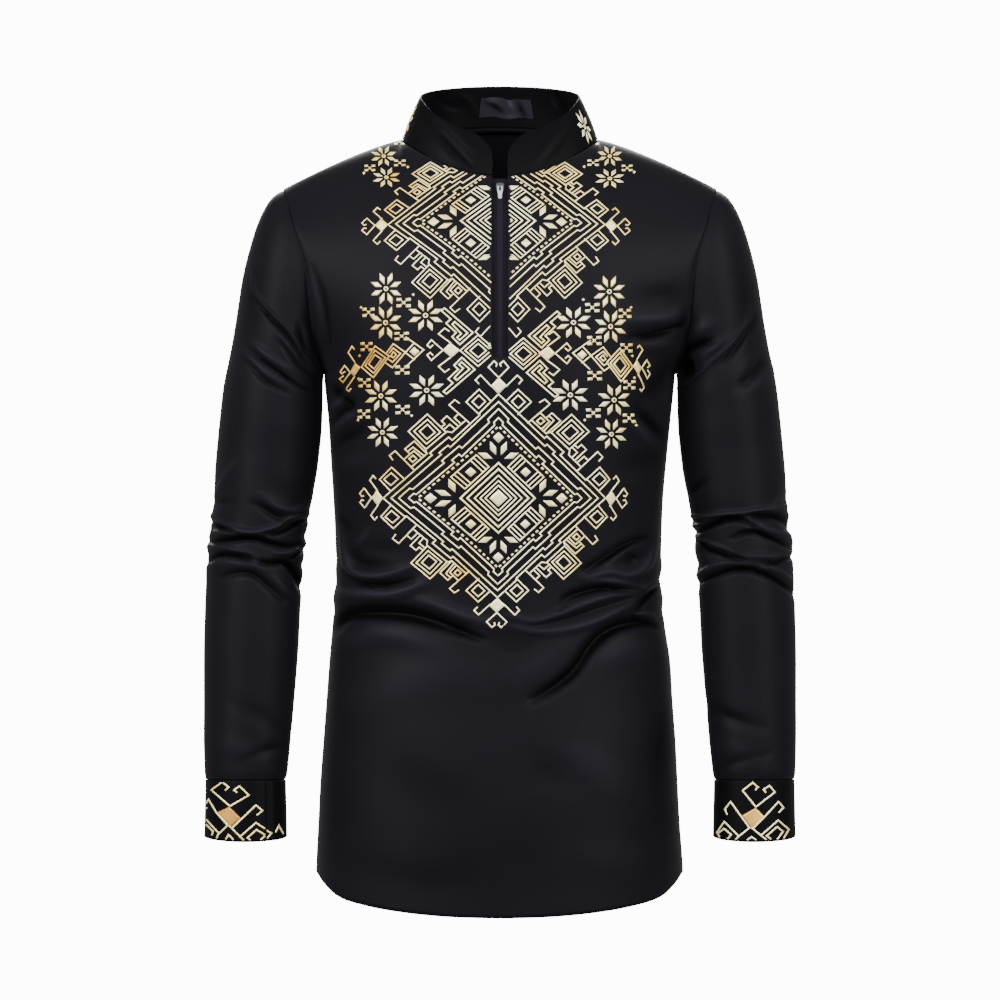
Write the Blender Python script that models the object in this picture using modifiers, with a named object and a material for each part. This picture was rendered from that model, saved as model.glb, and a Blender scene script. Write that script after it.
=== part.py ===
"""Men's long-sleeved pullover shirt in dashiki print style: stand collar, half zip, shirt-tail hem.

The garment stands filled out as if worn. +Z is up, the front faces -Y, and the wearer's right
arm is at -X. The origin is level with the high shoulder points, in the middle of the neck.
Heights are given as a drop below the origin. All sizes are in metres.
"""
import math

import bmesh
import bpy
import numpy as np
from mathutils import Matrix, Vector

# cloth
CLOTH = 0.0012               # wall of the body and sleeve cloth
BAND = 0.0016                # folded cloth of the collar and the cuffs
SEAM = 0.0003                # clear gap between neighbouring pieces
RIDGE = 0.0003               # more set-back where a seam runs over a ridge

# neck and shoulders
NECK_HALF = 0.098            # half width of the neckline
NECK_FRONT = 0.075           # neckline in front of the origin
NECK_BACK = 0.068            # neckline behind the origin
NECK_FRONT_DROP = 0.036
NECK_BACK_DROP = -0.011
SHOULDER_HALF = 0.217
SHOULDER_DROP = 0.0495
NECK_SHARE = 0.5             # share of a panel's columns that ends on the neckline

# armholes
UNDERARM_DROP = 0.234
ARMHOLE_FRONT = 0.058        # how far the armhole bows to the front
ARMHOLE_BACK = 0.062

# collar
COLLAR_TOP_HALF = 0.080
COLLAR_TOP_FRONT = 0.059
COLLAR_TOP_BACK = 0.063
COLLAR_TOP_SIDE_DROP = -0.043
COLLAR_TOP_FRONT_DROP = -0.004
COLLAR_TOP_BACK_DROP = -0.0545
COLLAR_CORNER = 0.026        # radius of its two front corners

# zip
SLIT_HALF = 0.0075           # the front is open this far each side of the middle
SLIT_DROP = 0.218            # lower end of the opening
TAPE_HALF = 0.0112
TAPE_WALL = 0.0009
TAPE_SET_IN = 0.00015         # keeps it clear of the flat facets of the front
TAPE_TOP_DROP = 0.0395
TAPE_END_DROP = 0.2245
SLIDER_DROP = 0.0485
SLIDER_WIDTH = 0.0080
SLIDER_LENGTH = 0.0095
SLIDER_WALL = 0.0026
BRIDGE_WIDTH = 0.0016
BRIDGE_REACH = 0.0040        # half length of the bridge
BRIDGE_LEG = 0.0012
BRIDGE_ROOM = 0.0023         # clear height under the bridge
BRIDGE_TOP = 0.0010
TAB_WALL = 0.0011
TAB_WIDTH = 0.0052
TAB_LENGTH = 0.0135
TAB_HOLE_WIDTH = 0.0026
TAB_HOLE_END = 0.0047
TAB_BAR = 0.00055            # half height of the bar that turns under the bridge

# cuffs
CUFF_TOP_DROP = 0.6390
CUFF_HEIGHT = 0.0560
CUFF_FRONT_DIP = 0.0060
CUFF_LAP = 0.024             # how far one end lies over the other
CUFF_LAP_STEP = 0.0021

# neck label, measured across and up the inside of the collar's back
LABEL_FROM = -0.021
LABEL_TO = 0.034
LABEL_LOW = 0.30
LABEL_HIGH = 0.74
LABEL_WALL = 0.0007
LABEL_SET_IN = 0.0004          # keeps it clear of the flat facets of the collar

# grid sizes
FRONT_COLUMNS = 30
BACK_COLUMNS = 24
UPPER_ROWS = 11
SLEEVE_COLUMNS = 22

# drop, half width at the wearer's right, half width at the left, depth in front, depth behind
BODY = (
    (0.218, 0.1765, 0.1755, 0.128, 0.108),
    (0.240, 0.1750, 0.1740, 0.129, 0.108),
    (0.280, 0.1710, 0.1700, 0.128, 0.105),
    (0.320, 0.1685, 0.1660, 0.126, 0.101),
    (0.360, 0.1660, 0.1625, 0.123, 0.098),
    (0.400, 0.1640, 0.1610, 0.120, 0.095),
    (0.440, 0.1640, 0.1605, 0.118, 0.094),
    (0.480, 0.1665, 0.1635, 0.119, 0.097),
    (0.520, 0.1700, 0.1695, 0.121, 0.102),
    (0.560, 0.1730, 0.1720, 0.124, 0.107),
    (0.600, 0.1760, 0.1750, 0.127, 0.111),
    (0.640, 0.1790, 0.1770, 0.129, 0.114),
    (0.680, 0.1810, 0.1790, 0.131, 0.116),
    (0.720, 0.1830, 0.1820, 0.132, 0.118),
    (0.780, 0.1840, 0.1840, 0.133, 0.119),
)

# column of the panel (0 middle, 1 side seam), drop of the hem
HEM = (
    (0.00, 0.7770),
    (0.20, 0.7750),
    (0.37, 0.7705),
    (0.51, 0.7650),
    (0.69, 0.7550),
    (0.80, 0.7440),
    (0.90, 0.7350),
    (1.00, 0.7300),
)

# drop, half width between the armhole seams
ARMHOLE = (
    (0.0495, 0.2170),
    (0.0650, 0.2115),
    (0.0850, 0.2070),
    (0.1080, 0.2000),
    (0.1320, 0.1942),
    (0.1600, 0.1912),
    (0.1850, 0.1890),
    (0.2100, 0.1840),
    (0.2340, 0.1760),
)

# outer edge: half width, drop; inner edge: half width, drop; half depth; how far forward
SLEEVE = (
    (0.2170, 0.0495, 0.1760, 0.2340, 0.0600, 0.000),
    (0.2300, 0.0600, 0.1765, 0.2375, 0.0615, 0.000),
    (0.2410, 0.0800, 0.1768, 0.2410, 0.0625, 0.000),
    (0.2500, 0.1070, 0.1769, 0.2445, 0.0635, 0.000),
    (0.2575, 0.1370, 0.1770, 0.2485, 0.0640, 0.000),
    (0.2620, 0.1650, 0.1771, 0.2530, 0.0640, 0.000),
    (0.2660, 0.1920, 0.1772, 0.2590, 0.0635, 0.000),
    (0.2710, 0.2190, 0.1773, 0.2670, 0.0630, 0.001),
    (0.2765, 0.2460, 0.1776, 0.2780, 0.0625, 0.001),
    (0.2800, 0.2760, 0.1785, 0.2940, 0.0615, 0.002),
    (0.2830, 0.3060, 0.1805, 0.3130, 0.0605, 0.002),
    (0.2850, 0.3300, 0.1830, 0.3330, 0.0595, 0.003),
    (0.2860, 0.3560, 0.1875, 0.3570, 0.0585, 0.004),
    (0.2885, 0.3780, 0.1915, 0.3780, 0.0575, 0.004),
    (0.2920, 0.4000, 0.1940, 0.4000, 0.0565, 0.005),
    (0.2930, 0.4200, 0.1965, 0.4200, 0.0555, 0.007),
    (0.2940, 0.4420, 0.1975, 0.4420, 0.0545, 0.009),
    (0.2950, 0.4700, 0.1995, 0.4700, 0.0530, 0.012),
    (0.2960, 0.5100, 0.2015, 0.5100, 0.0510, 0.016),
    (0.2960, 0.5600, 0.2055, 0.5600, 0.0480, 0.021),
    (0.2960, 0.6000, 0.2090, 0.6000, 0.0455, 0.025),
    (0.2950, 0.6387, 0.2130, 0.6387, 0.0430, 0.028),
)

# a soft fold: x and drop of one end, x and drop of the other, sag of its middle, half width, height
BODY_FOLDS_FRONT = (
    (-0.168, 0.489, -0.030, 0.492, -0.018, 0.011, -0.0040),
    (-0.166, 0.450, -0.080, 0.450, 0.002, 0.012, 0.0035),
    (-0.164, 0.392, -0.110, 0.442, 0.010, 0.011, -0.0030),
    (0.080, 0.430, 0.150, 0.393, 0.000, 0.010, -0.0030),
    (0.062, 0.467, 0.166, 0.440, -0.005, 0.010, -0.0030),
    (0.030, 0.560, 0.166, 0.486, -0.026, 0.012, -0.0035),
    (0.010, 0.484, 0.140, 0.462, 0.000, 0.010, 0.0025),
)
BODY_FOLDS_BACK = (
    (-0.160, 0.470, -0.020, 0.500, -0.014, 0.014, -0.0035),
    (0.020, 0.470, 0.160, 0.440, 0.012, 0.014, -0.0035),
    (-0.120, 0.420, 0.110, 0.425, -0.012, 0.016, -0.0030),
)
RIGHT_FOLDS_FRONT = (
    (-0.250, 0.146, -0.190, 0.222, 0.000, 0.012, 0.0030),
    (-0.252, 0.206, -0.186, 0.256, 0.000, 0.010, -0.0030),
    (-0.292, 0.372, -0.188, 0.374, 0.016, 0.008, -0.0040),
    (-0.292, 0.402, -0.192, 0.400, -0.003, 0.008, -0.0030),
    (-0.294, 0.418, -0.196, 0.434, -0.008, 0.008, -0.0030),
    (-0.292, 0.455, -0.200, 0.450, 0.006, 0.010, 0.0025),
)
LEFT_FOLDS_FRONT = (
    (0.250, 0.184, 0.180, 0.250, 0.000, 0.012, 0.0030),
    (0.182, 0.204, 0.225, 0.192, 0.000, 0.010, -0.0030),
    (0.290, 0.368, 0.188, 0.377, 0.000, 0.008, 0.0030),
    (0.290, 0.380, 0.190, 0.390, 0.008, 0.008, -0.0035),
    (0.294, 0.416, 0.192, 0.400, 0.010, 0.008, -0.0035),
    (0.296, 0.446, 0.196, 0.438, -0.012, 0.009, -0.0030),
)
RIGHT_FOLDS_BACK = (
    (-0.292, 0.390, -0.192, 0.372, 0.010, 0.010, -0.0030),
    (-0.294, 0.412, -0.194, 0.420, -0.010, 0.010, -0.0030),
)
LEFT_FOLDS_BACK = (
    (0.292, 0.384, 0.192, 0.376, 0.012, 0.010, -0.0030),
    (0.294, 0.424, 0.194, 0.410, -0.010, 0.010, -0.0030),
)


def along(table, column, at):
    """Smooth curve through one column of a table, read at values of its first column."""
    knots = np.array([row[0] for row in table])
    values = np.array([row[column] for row in table])
    slopes = np.gradient(values, knots)
    at = np.clip(at, knots[0], knots[-1])
    i = np.clip(np.searchsorted(knots, at) - 1, 0, len(knots) - 2)
    step = knots[i + 1] - knots[i]
    t = (at - knots[i]) / step
    rest = 1.0 - t
    ends = values[i] * rest**2 * (1 + 2 * t) + values[i + 1] * t**2 * (3 - 2 * t)
    return ends + step * t * rest * (slopes[i] * rest - slopes[i + 1] * t)


def numbered(table):
    """The same table with its row number as first column, to be read at fractions of a row."""
    return tuple((float(i),) + row for i, row in enumerate(table))


def fold_height(folds, x, drop):
    """Sum of soft folds: each is a parabola between two points with a bell-shaped cross section."""
    height = np.zeros_like(x)
    for x0, d0, x1, d1, sag, half, peak in folds:
        length = math.hypot(x1 - x0, d1 - d0)
        run = ((x - x0) * (x1 - x0) + (drop - d0) * (d1 - d0)) / length**2
        off = ((x1 - x0) * (drop - d0) - (d1 - d0) * (x - x0)) / length
        if x1 < x0:
            off = -off
        inside = np.clip(run, 0.0, 1.0)
        off = off - sag * 4 * inside * (1 - inside)
        past = (run - inside) * length
        bell = np.exp(-(off**2 + past**2) / half**2)
        height += peak * bell * (0.35 + 0.65 * np.sin(math.pi * inside))
    return height


def normals_of(grid, closed=False):
    """Unit normals of a grid of points from the steps along its rows and its columns."""
    if closed:
        wide = np.concatenate((grid[:, -1:], grid, grid[:, :1]), axis=1)
        across = (wide[:, 2:] - wide[:, :-2]) / 2
    else:
        across = np.gradient(grid, axis=1)
    down = np.gradient(grid, axis=0)
    normal = np.cross(across, down)
    return normal / np.maximum(np.linalg.norm(normal, axis=2, keepdims=True), 1e-12)


def top_edge(u, front):
    """Upper edge of a body panel: the neckline in the middle, a shoulder seam at each side."""
    a = np.abs(u)
    turn = (1 - np.clip(a / NECK_SHARE, 0, 1)) * math.pi / 2
    out = np.clip((a - NECK_SHARE) / (1 - NECK_SHARE), 0, 1)
    x = np.sign(u) * (NECK_HALF * np.cos(turn) + (SHOULDER_HALF - NECK_HALF) * out)
    y = (NECK_FRONT if front else NECK_BACK) * np.sin(turn)
    dip = NECK_FRONT_DROP if front else NECK_BACK_DROP
    drop = dip * np.sin(turn)**2 + SHOULDER_DROP * out**1.25
    return np.stack((x, y, drop), axis=-1)


def soft_top_edge(u, blend, front):
    """The top edge averaged over a stretch of columns, most weight in its middle."""
    total = 0
    for k in range(-6, 7):
        total = total + (7 - abs(k)) * top_edge(u + blend * k / 7, front)
    return total / 49


def body_point(u, s, face):
    """Point of a body panel.

    u runs from one side edge (-1) to the other (1). s runs from the neckline and shoulder seams
    (0) to the level of the underarm (1) and on to the hem (2). face is -1 in front, 1 behind.
    Below the underarm a row is half of an oval. Above it the rows swing up to the top edge,
    whose corner beside the neck is blended away as the rows leave it.
    """
    front = face < 0
    side = np.sign(u)
    a = np.abs(u)
    upper = np.clip(s, 0.0, 1.0)
    lower = np.clip(s - 1.0, 0.0, 1.0)
    v = (1 - a**2) * (1 - np.cos(math.pi * upper / 2)) + a**2 * (1 - np.cos(math.pi * upper)) / 2

    blend = 0.40 * np.clip(v / 0.25, 0, 1) * (1 - a**2)
    top = soft_top_edge(u, blend, front)
    top_x = np.abs(top[..., 0])
    top_y = top[..., 1]
    top_drop = top[..., 2]
    base = SLIT_DROP + (UNDERARM_DROP - SLIT_DROP) * a**2
    hem = along(HEM, 1, a)
    drop = top_drop + (base - top_drop) * v + (hem - base) * lower

    half = np.where(u < 0, along(BODY, 1, drop), along(BODY, 2, drop))
    base_x = half * np.sin(a * math.pi / 2)
    swing = v * (2 - v)
    x = top_x * (1 - swing) + base_x * swing
    edge_line = SHOULDER_HALF * (1 - swing) + half * swing
    x = x + (along(ARMHOLE, 1, drop) - edge_line) * a**6 * (v < 1)

    depth = along(BODY, 3 if front else 4, drop)
    base_y = depth * np.maximum(np.cos(a * math.pi / 2), 0)**0.80
    near = np.clip(a / NECK_SHARE, 0, 1)
    crown = 1 - 0.5 * near**2 * (3 - 2 * near)
    rise = np.maximum(1 - (1 - v)**2, 0)**crown
    bow = ARMHOLE_FRONT if front else ARMHOLE_BACK
    arch = np.maximum(4 * v * (1 - v), 0)**(1.4 - 0.9 * a**8)
    y = top_y + (base_y - top_y) * rise + a**3 * bow * arch
    return np.stack((side * x, face * y, -drop), axis=-1)


def body_rows(lower_rows):
    """Row positions of a panel: even turns above the underarm, even steps below it."""
    upper = np.linspace(0.0, 1.0, UPPER_ROWS + 1)
    lower = 1.0 + np.linspace(0.0, 1.0, lower_rows + 1)[1:]
    return np.concatenate((upper, lower))


def body_panel(columns, rows, face, folds):
    """Grid of a body panel with its folds, set back from its seams."""
    u, s = np.meshgrid(columns, rows)
    grid = body_point(u, s, face)
    normal = normals_of(grid) * -face
    flat = np.clip(1 - np.abs(u)**6, 0, 1) * np.clip((s - 0.2) * 3, 0, 1)
    facing = np.clip(normal[..., 1] * face, 0, 1)
    height = fold_height(folds, grid[..., 0], -grid[..., 2]) * flat * facing**0.5
    grid = grid + normal * height[..., None]

    inward = grid[:, 1:2] - grid[:, :1]
    inward /= np.linalg.norm(inward, axis=2, keepdims=True)
    back = grid[:, -2:-1] - grid[:, -1:]
    back /= np.linalg.norm(back, axis=2, keepdims=True)
    grid[:, :1] += inward * (SEAM / 2 + RIDGE)
    grid[:, -1:] += back * (SEAM / 2 + RIDGE)
    down = grid[1:2] - grid[:1]
    down /= np.linalg.norm(down, axis=2, keepdims=True)
    grid[:1] += down * (SEAM / 2 + RIDGE)
    return grid


def sleeve_point(index, turn, side):
    """Point of a sleeve: ring number (fractions allowed), turn round the arm from its top edge.

    side is -1 on the wearer's right. The first ring is the armhole, so it takes the armhole's
    curve; the following rings fan out round the underarm until they lie level.
    """
    table = numbered(SLEEVE)
    share = (1 - np.cos(turn)) / 2
    outer_x = along(table, 1, index)
    outer_drop = along(table, 2, index)
    inner_x = along(table, 3, index)
    inner_drop = along(table, 4, index)
    x = outer_x + (inner_x - outer_x) * share
    drop = outer_drop + (inner_drop - outer_drop) * share
    hold = np.clip(1 - index / 5, 0, 1)**2
    straight = SHOULDER_HALF + (0.1760 - SHOULDER_HALF) * share
    seam_drop = SHOULDER_DROP + (UNDERARM_DROP - SHOULDER_DROP) * share
    x = x + (along(ARMHOLE, 1, seam_drop) - straight) * hold
    skew = 0.002 * np.clip(1 - index / 8, 0, 1)
    depth = along(table, 5, index) + np.where(np.sin(turn) > 0, -skew, skew)
    y = -along(table, 6, index) - depth * np.sin(turn)
    return np.stack((side * x, y, -drop), axis=-1)


def sleeve_rings():
    """Ring numbers down the sleeve: one per table row, with more of them round the elbow."""
    last = len(SLEEVE) - 1
    rings = list(range(0, 12))
    rings += [12.0, 12.6, 13.1, 13.6, 14.1, 14.6, 15.1, 15.7, 16.4, 17.0, 17.7]
    rings += [18.5, 19.3, 20.2, last]
    return np.array(rings, dtype=float)


def sleeve_tube(side, folds_front, folds_back):
    """Closed tube of a sleeve with its folds, its first ring set back from the armhole seam."""
    rings = sleeve_rings()
    turns = np.linspace(0, 2 * math.pi, SLEEVE_COLUMNS, endpoint=False)
    turn, index = np.meshgrid(turns, rings)
    grid = sleeve_point(index, turn, side)
    normal = normals_of(grid, closed=True)
    if np.sum(normal[5, 0] * np.array((side, 0, 0))) < 0:
        normal = -normal
    last = len(SLEEVE) - 1
    calm = np.clip(index / 3, 0, 1) * np.clip((last - index) / 1.0, 0, 1)
    front = np.clip(-normal[..., 1], 0, 1)**0.5
    behind = np.clip(normal[..., 1], 0, 1)**0.5
    x = grid[..., 0]
    drop = -grid[..., 2]
    height = fold_height(folds_front, x, drop) * front + fold_height(folds_back, x, drop) * behind
    grid = grid + normal * (height * calm)[..., None]
    away = grid[1:2] - grid[:1]
    away /= np.linalg.norm(away, axis=2, keepdims=True)
    grid[:1] += away * (SEAM / 2 + 2 * RIDGE)
    return grid


def collar_point(turn, rise):
    """Point of the collar: turn round the neck (0 at the back, +-pi at the front), rise 0 to 1."""
    front = np.cos(turn) < 0
    wide = np.abs(np.sin(turn))
    deep = np.abs(np.cos(turn))
    base_y = np.where(front, -NECK_FRONT * deep, NECK_BACK * deep)
    base_drop = np.where(front, NECK_FRONT_DROP, NECK_BACK_DROP) * deep**2
    top_y = np.where(front, -COLLAR_TOP_FRONT * deep, COLLAR_TOP_BACK * deep)
    end_drop = np.where(front, COLLAR_TOP_FRONT_DROP, COLLAR_TOP_BACK_DROP)
    swing = np.where(front, deep**1.5, deep**0.9)
    top_drop = COLLAR_TOP_SIDE_DROP + (end_drop - COLLAR_TOP_SIDE_DROP) * swing
    base_x = np.sign(np.sin(turn)) * NECK_HALF * wide
    top_x = np.sign(np.sin(turn)) * COLLAR_TOP_HALF * wide
    belly = 0.0012 * np.sin(math.pi * rise)
    x = base_x + (top_x - base_x) * rise
    y = base_y + (top_y - base_y) * rise
    drop = base_drop + (top_drop - base_drop) * rise
    x = x + belly * np.sign(np.sin(turn)) * wide
    y = y + belly * np.where(front, -deep, deep)
    return np.stack((x, y, -drop), axis=-1)


def collar_end():
    """Turn at which the collar ends, one slit half width from the middle of the front."""
    return math.pi - math.asin((SLIT_HALF + 0.0004) / NECK_HALF)


def collar_band(columns, rows):
    """Grid of the collar band with its two front corners rounded off."""
    end = collar_end()
    even = np.linspace(-1, 1, columns + 1)
    eased = np.sign(even) * (1 - (1 - np.abs(even))**1.25)
    turn = eased * end
    height = 0.0425
    girth = np.abs(np.abs(turn) - end) * 0.085
    cut = np.clip(COLLAR_CORNER - girth, 0, COLLAR_CORNER)
    top = 1 - (COLLAR_CORNER - np.sqrt(COLLAR_CORNER**2 - cut**2)) / height
    low = SEAM * 2.2 / height
    share = np.linspace(0, 1, rows + 1)
    rise = low + (top[None, :] - low) * share[:, None]
    turns = np.repeat(turn[None, :], rows + 1, axis=0)
    return collar_point(turns, rise)


def cuff_band(side, columns, rows, start):
    """Grid of a cuff: a band round the wrist whose second end lies over its first."""
    last = float(len(SLEEVE) - 1)
    half_width = (SLEEVE[-1][0] - SLEEVE[-1][2]) / 2
    half_depth = SLEEVE[-1][4]
    girth = math.pi * (half_width + half_depth)
    lap = CUFF_LAP / girth * 2 * math.pi
    path = np.linspace(0, 1, columns + 1)
    turn = start + path * (2 * math.pi + lap)
    under = np.clip((1.45 * lap - path * (2 * math.pi + lap)) / (0.45 * lap), 0, 1)
    step = CUFF_LAP_STEP * under * under * (3 - 2 * under)
    share = np.linspace(0, 1, rows + 1)[:, None]
    centre_x = (SLEEVE[-1][0] + SLEEVE[-1][2]) / 2
    wide = half_width - 0.0008 + 0.0012 * share - step[None, :]
    deep = half_depth - 0.0008 + 0.0012 * share - step[None, :]
    x = centre_x + wide * np.cos(turn)[None, :]
    y = -SLEEVE[-1][5] - 0.003 * share - deep * np.sin(turn)[None, :]
    front = np.clip(np.sin(turn), 0, 1)[None, :]
    drop = CUFF_TOP_DROP + SEAM + (CUFF_HEIGHT + CUFF_FRONT_DIP * front) * share
    return np.stack((side * x, y, -drop), axis=-1)


def make_material(name, colour, roughness, metallic=0.0):
    """A plain Principled material."""
    material = bpy.data.materials.new(name)
    material.use_nodes = True
    shader = material.node_tree.nodes["Principled BSDF"]
    shader.inputs["Base Color"].default_value = (*colour, 1.0)
    shader.inputs["Roughness"].default_value = roughness
    shader.inputs["Metallic"].default_value = metallic
    return material


def add_surface(name, grid, closed=False, holes=None):
    """A mesh object of quads through rows of points, with its normals pointing outwards."""
    rows, columns = grid.shape[:2]
    faces = []
    spans = columns if closed else columns - 1
    for r in range(rows - 1):
        for c in range(spans):
            if holes and holes(r, c):
                continue
            n = (c + 1) % columns
            faces.append((r * columns + c, r * columns + n, (r + 1) * columns + n,
                          (r + 1) * columns + c))
    mesh = bpy.data.meshes.new(name)
    mesh.from_pydata([tuple(p) for p in grid.reshape(-1, 3)], [], faces)
    loose = bmesh.new()
    loose.from_mesh(mesh)
    bmesh.ops.delete(loose, geom=[v for v in loose.verts if not v.link_faces], context="VERTS")
    loose.to_mesh(mesh)
    loose.free()
    mesh.update()
    thing = bpy.data.objects.new(name, mesh)
    shirt.objects.link(thing)
    mesh.shade_smooth()
    return thing


def turn_out(thing, probe):
    """Flip the faces if the face nearest the probe point looks away from it."""
    mesh = thing.data
    probe = Vector(probe)
    nearest = min(mesh.polygons, key=lambda face: (face.center - probe).length)
    if nearest.normal.dot(probe - nearest.center) < 0:
        mesh.flip_normals()


def give_wall(thing, thickness):
    """Solidify the cloth inwards from its outer surface."""
    wall = thing.modifiers.new("cloth wall", "SOLIDIFY")
    wall.thickness = thickness
    wall.offset = -1.0
    wall.use_rim = True
    wall.use_quality_normals = True


def add_outline(name, outlines, half_thickness):
    """A flat plate in its own XY plane from closed outlines; inner outlines are holes."""
    curve = bpy.data.curves.new(name, "CURVE")
    curve.dimensions = "2D"
    curve.fill_mode = "BOTH"
    curve.extrude = half_thickness
    for outline in outlines:
        spline = curve.splines.new("POLY")
        spline.points.add(len(outline) - 1)
        for point, (x, y) in zip(spline.points, outline):
            point.co = (x, y, 0.0, 1.0)
        spline.use_cyclic_u = True
    draft = bpy.data.objects.new(name + " outline", curve)
    shirt.objects.link(draft)
    bpy.context.view_layer.update()
    seen = draft.evaluated_get(bpy.context.evaluated_depsgraph_get())
    mesh = bpy.data.meshes.new_from_object(seen)
    bpy.data.objects.remove(draft)
    mesh.name = name
    loose = bmesh.new()
    loose.from_mesh(mesh)
    bmesh.ops.remove_doubles(loose, verts=loose.verts, dist=1e-6)
    bmesh.ops.recalc_face_normals(loose, faces=loose.faces)
    loose.to_mesh(mesh)
    loose.free()
    return mesh


def zip_frame():
    """Matrix of the slider: its origin on the tape, local Y down the tape, local Z outwards."""
    drops = np.array((SLIDER_DROP - 0.002, SLIDER_DROP, SLIDER_DROP + 0.002))
    line = centre_line(drops)
    down = Vector(line[2] - line[0]).normalized()
    right = Vector((1.0, 0.0, 0.0))
    outward = right.cross(down)
    if outward.y > 0:
        outward = -outward
        right = -right
    origin = Vector(line[1]) - outward * (CLOTH + SEAM + TAPE_SET_IN)
    matrix = Matrix((right, down, outward)).transposed().to_4x4()
    matrix.translation = origin
    return matrix


def centre_line(drops):
    """Points down the middle of the front at the given drops."""
    s = np.linspace(0, 2, 801)
    line = body_point(np.zeros_like(s), s, -1.0)
    y = np.interp(drops, -line[:, 2], line[:, 1])
    return np.stack((np.zeros_like(drops), y, -drops), axis=-1)


def tape_strip(side):
    """Grid of half the zip tape, behind the front's edge and up to the middle.

    It has a row of points wherever the front has one, so both bend along the same lines.
    """
    s = np.linspace(0.0, 1.2, 481)
    line = body_point(np.zeros_like(s), s, -1.0)
    rows = -body_point(np.zeros(UPPER_ROWS + 1), body_rows(19)[:UPPER_ROWS + 1], -1.0)[:, 2]
    drops = [TAPE_TOP_DROP] + [d for d in rows if d > TAPE_TOP_DROP + 0.001] + [TAPE_END_DROP]
    levels = np.interp(drops, -line[:, 2], s)
    across = np.array((SEAM / 2, TAPE_HALF / 2, TAPE_HALF))
    us, ss = np.meshgrid(np.linspace(0.0, 0.1, 21), levels)
    near = body_point(us, ss, -1.0)
    grid = np.zeros((len(drops), 3, 3))
    for r in range(len(drops)):
        grid[r, :, 0] = across
        grid[r, :, 1] = np.interp(across, near[r, :, 0], near[r, :, 1])
        grid[r, :, 2] = np.interp(across, near[r, :, 0], near[r, :, 2])
    normal = normals_of(grid)
    normal *= np.sign(normal[..., 1:2])
    grid = grid + normal * (CLOTH + SEAM + TAPE_SET_IN)
    grid[..., 0] = across[None, :] * side
    return grid


# clear the scene
for old in list(bpy.data.objects):
    bpy.data.objects.remove(old)
shirt = bpy.data.collections.new("dashiki_shirt")
bpy.context.scene.collection.children.link(shirt)

# body: front with the zip opening, and back
slit_u = 2 / math.pi * math.asin(SLIT_HALF / 0.176)
sides = np.linspace(slit_u, 1.0, FRONT_COLUMNS // 2)
sides = np.concatenate((sides[:1], sides[:1] + 0.022, sides[1:]))
front_columns = np.concatenate((-sides[::-1], sides))
front_rows = body_rows(19)
front_grid = body_panel(front_columns, front_rows, -1.0, BODY_FOLDS_FRONT)
left_edge = FRONT_COLUMNS // 2
front_grid[:UPPER_ROWS + 1, left_edge, 0] = -SLIT_HALF
front_grid[:UPPER_ROWS + 1, left_edge + 1, 0] = SLIT_HALF
front = add_surface("front_body", front_grid,
                    holes=lambda r, c: c == left_edge and r < UPPER_ROWS)
turn_out(front, (0.05, -1.0, -0.4))
give_wall(front, CLOTH)

back_columns = np.linspace(-1.0, 1.0, BACK_COLUMNS + 1)
back = add_surface("back_body", body_panel(back_columns, body_rows(16), 1.0, BODY_FOLDS_BACK))
turn_out(back, (0.0, 1.0, -0.4))
give_wall(back, CLOTH)

# sleeves
right_sleeve = add_surface("sleeve_wearer_right",
                           sleeve_tube(-1.0, RIGHT_FOLDS_FRONT, RIGHT_FOLDS_BACK), closed=True)
turn_out(right_sleeve, (-1.0, 0.0, -0.4))
give_wall(right_sleeve, CLOTH)
left_sleeve = add_surface("sleeve_wearer_left",
                          sleeve_tube(1.0, LEFT_FOLDS_FRONT, LEFT_FOLDS_BACK), closed=True)
turn_out(left_sleeve, (1.0, 0.0, -0.4))
give_wall(left_sleeve, CLOTH)

# cuffs: the right one laps at the front of the wrist, the left one behind it
right_cuff = add_surface("cuff_wearer_right", cuff_band(-1.0, 32, 3, math.radians(88)))
turn_out(right_cuff, (-1.0, -0.03, -0.67))
give_wall(right_cuff, BAND)
left_cuff = add_surface("cuff_wearer_left", cuff_band(1.0, 32, 3, math.radians(250)))
turn_out(left_cuff, (1.0, -0.03, -0.67))
give_wall(left_cuff, BAND)

# collar and the label inside its back
collar = add_surface("collar", collar_band(40, 4))
turn_out(collar, (0.0, 1.0, 0.03))
give_wall(collar, BAND)

label_turn, label_rise = np.meshgrid(
    np.arcsin(np.linspace(LABEL_FROM, LABEL_TO, 8) / 0.092), np.linspace(LABEL_LOW, LABEL_HIGH, 3))
label_grid = collar_point(label_turn, label_rise)
label_normal = normals_of(label_grid)
label_normal *= np.sign(label_normal[..., 1:2])
label_grid = label_grid - label_normal * (BAND + SEAM + LABEL_SET_IN)
label = add_surface("neck_label", label_grid)
turn_out(label, (0.0, 1.0, 0.03))
give_wall(label, LABEL_WALL)

# zip tapes
right_tape = add_surface("zip_tape_wearer_right", tape_strip(-1.0))
turn_out(right_tape, (0.0, -1.0, -0.12))
give_wall(right_tape, TAPE_WALL)
left_tape = add_surface("zip_tape_wearer_left", tape_strip(1.0))
turn_out(left_tape, (0.0, -1.0, -0.12))
give_wall(left_tape, TAPE_WALL)

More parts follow.
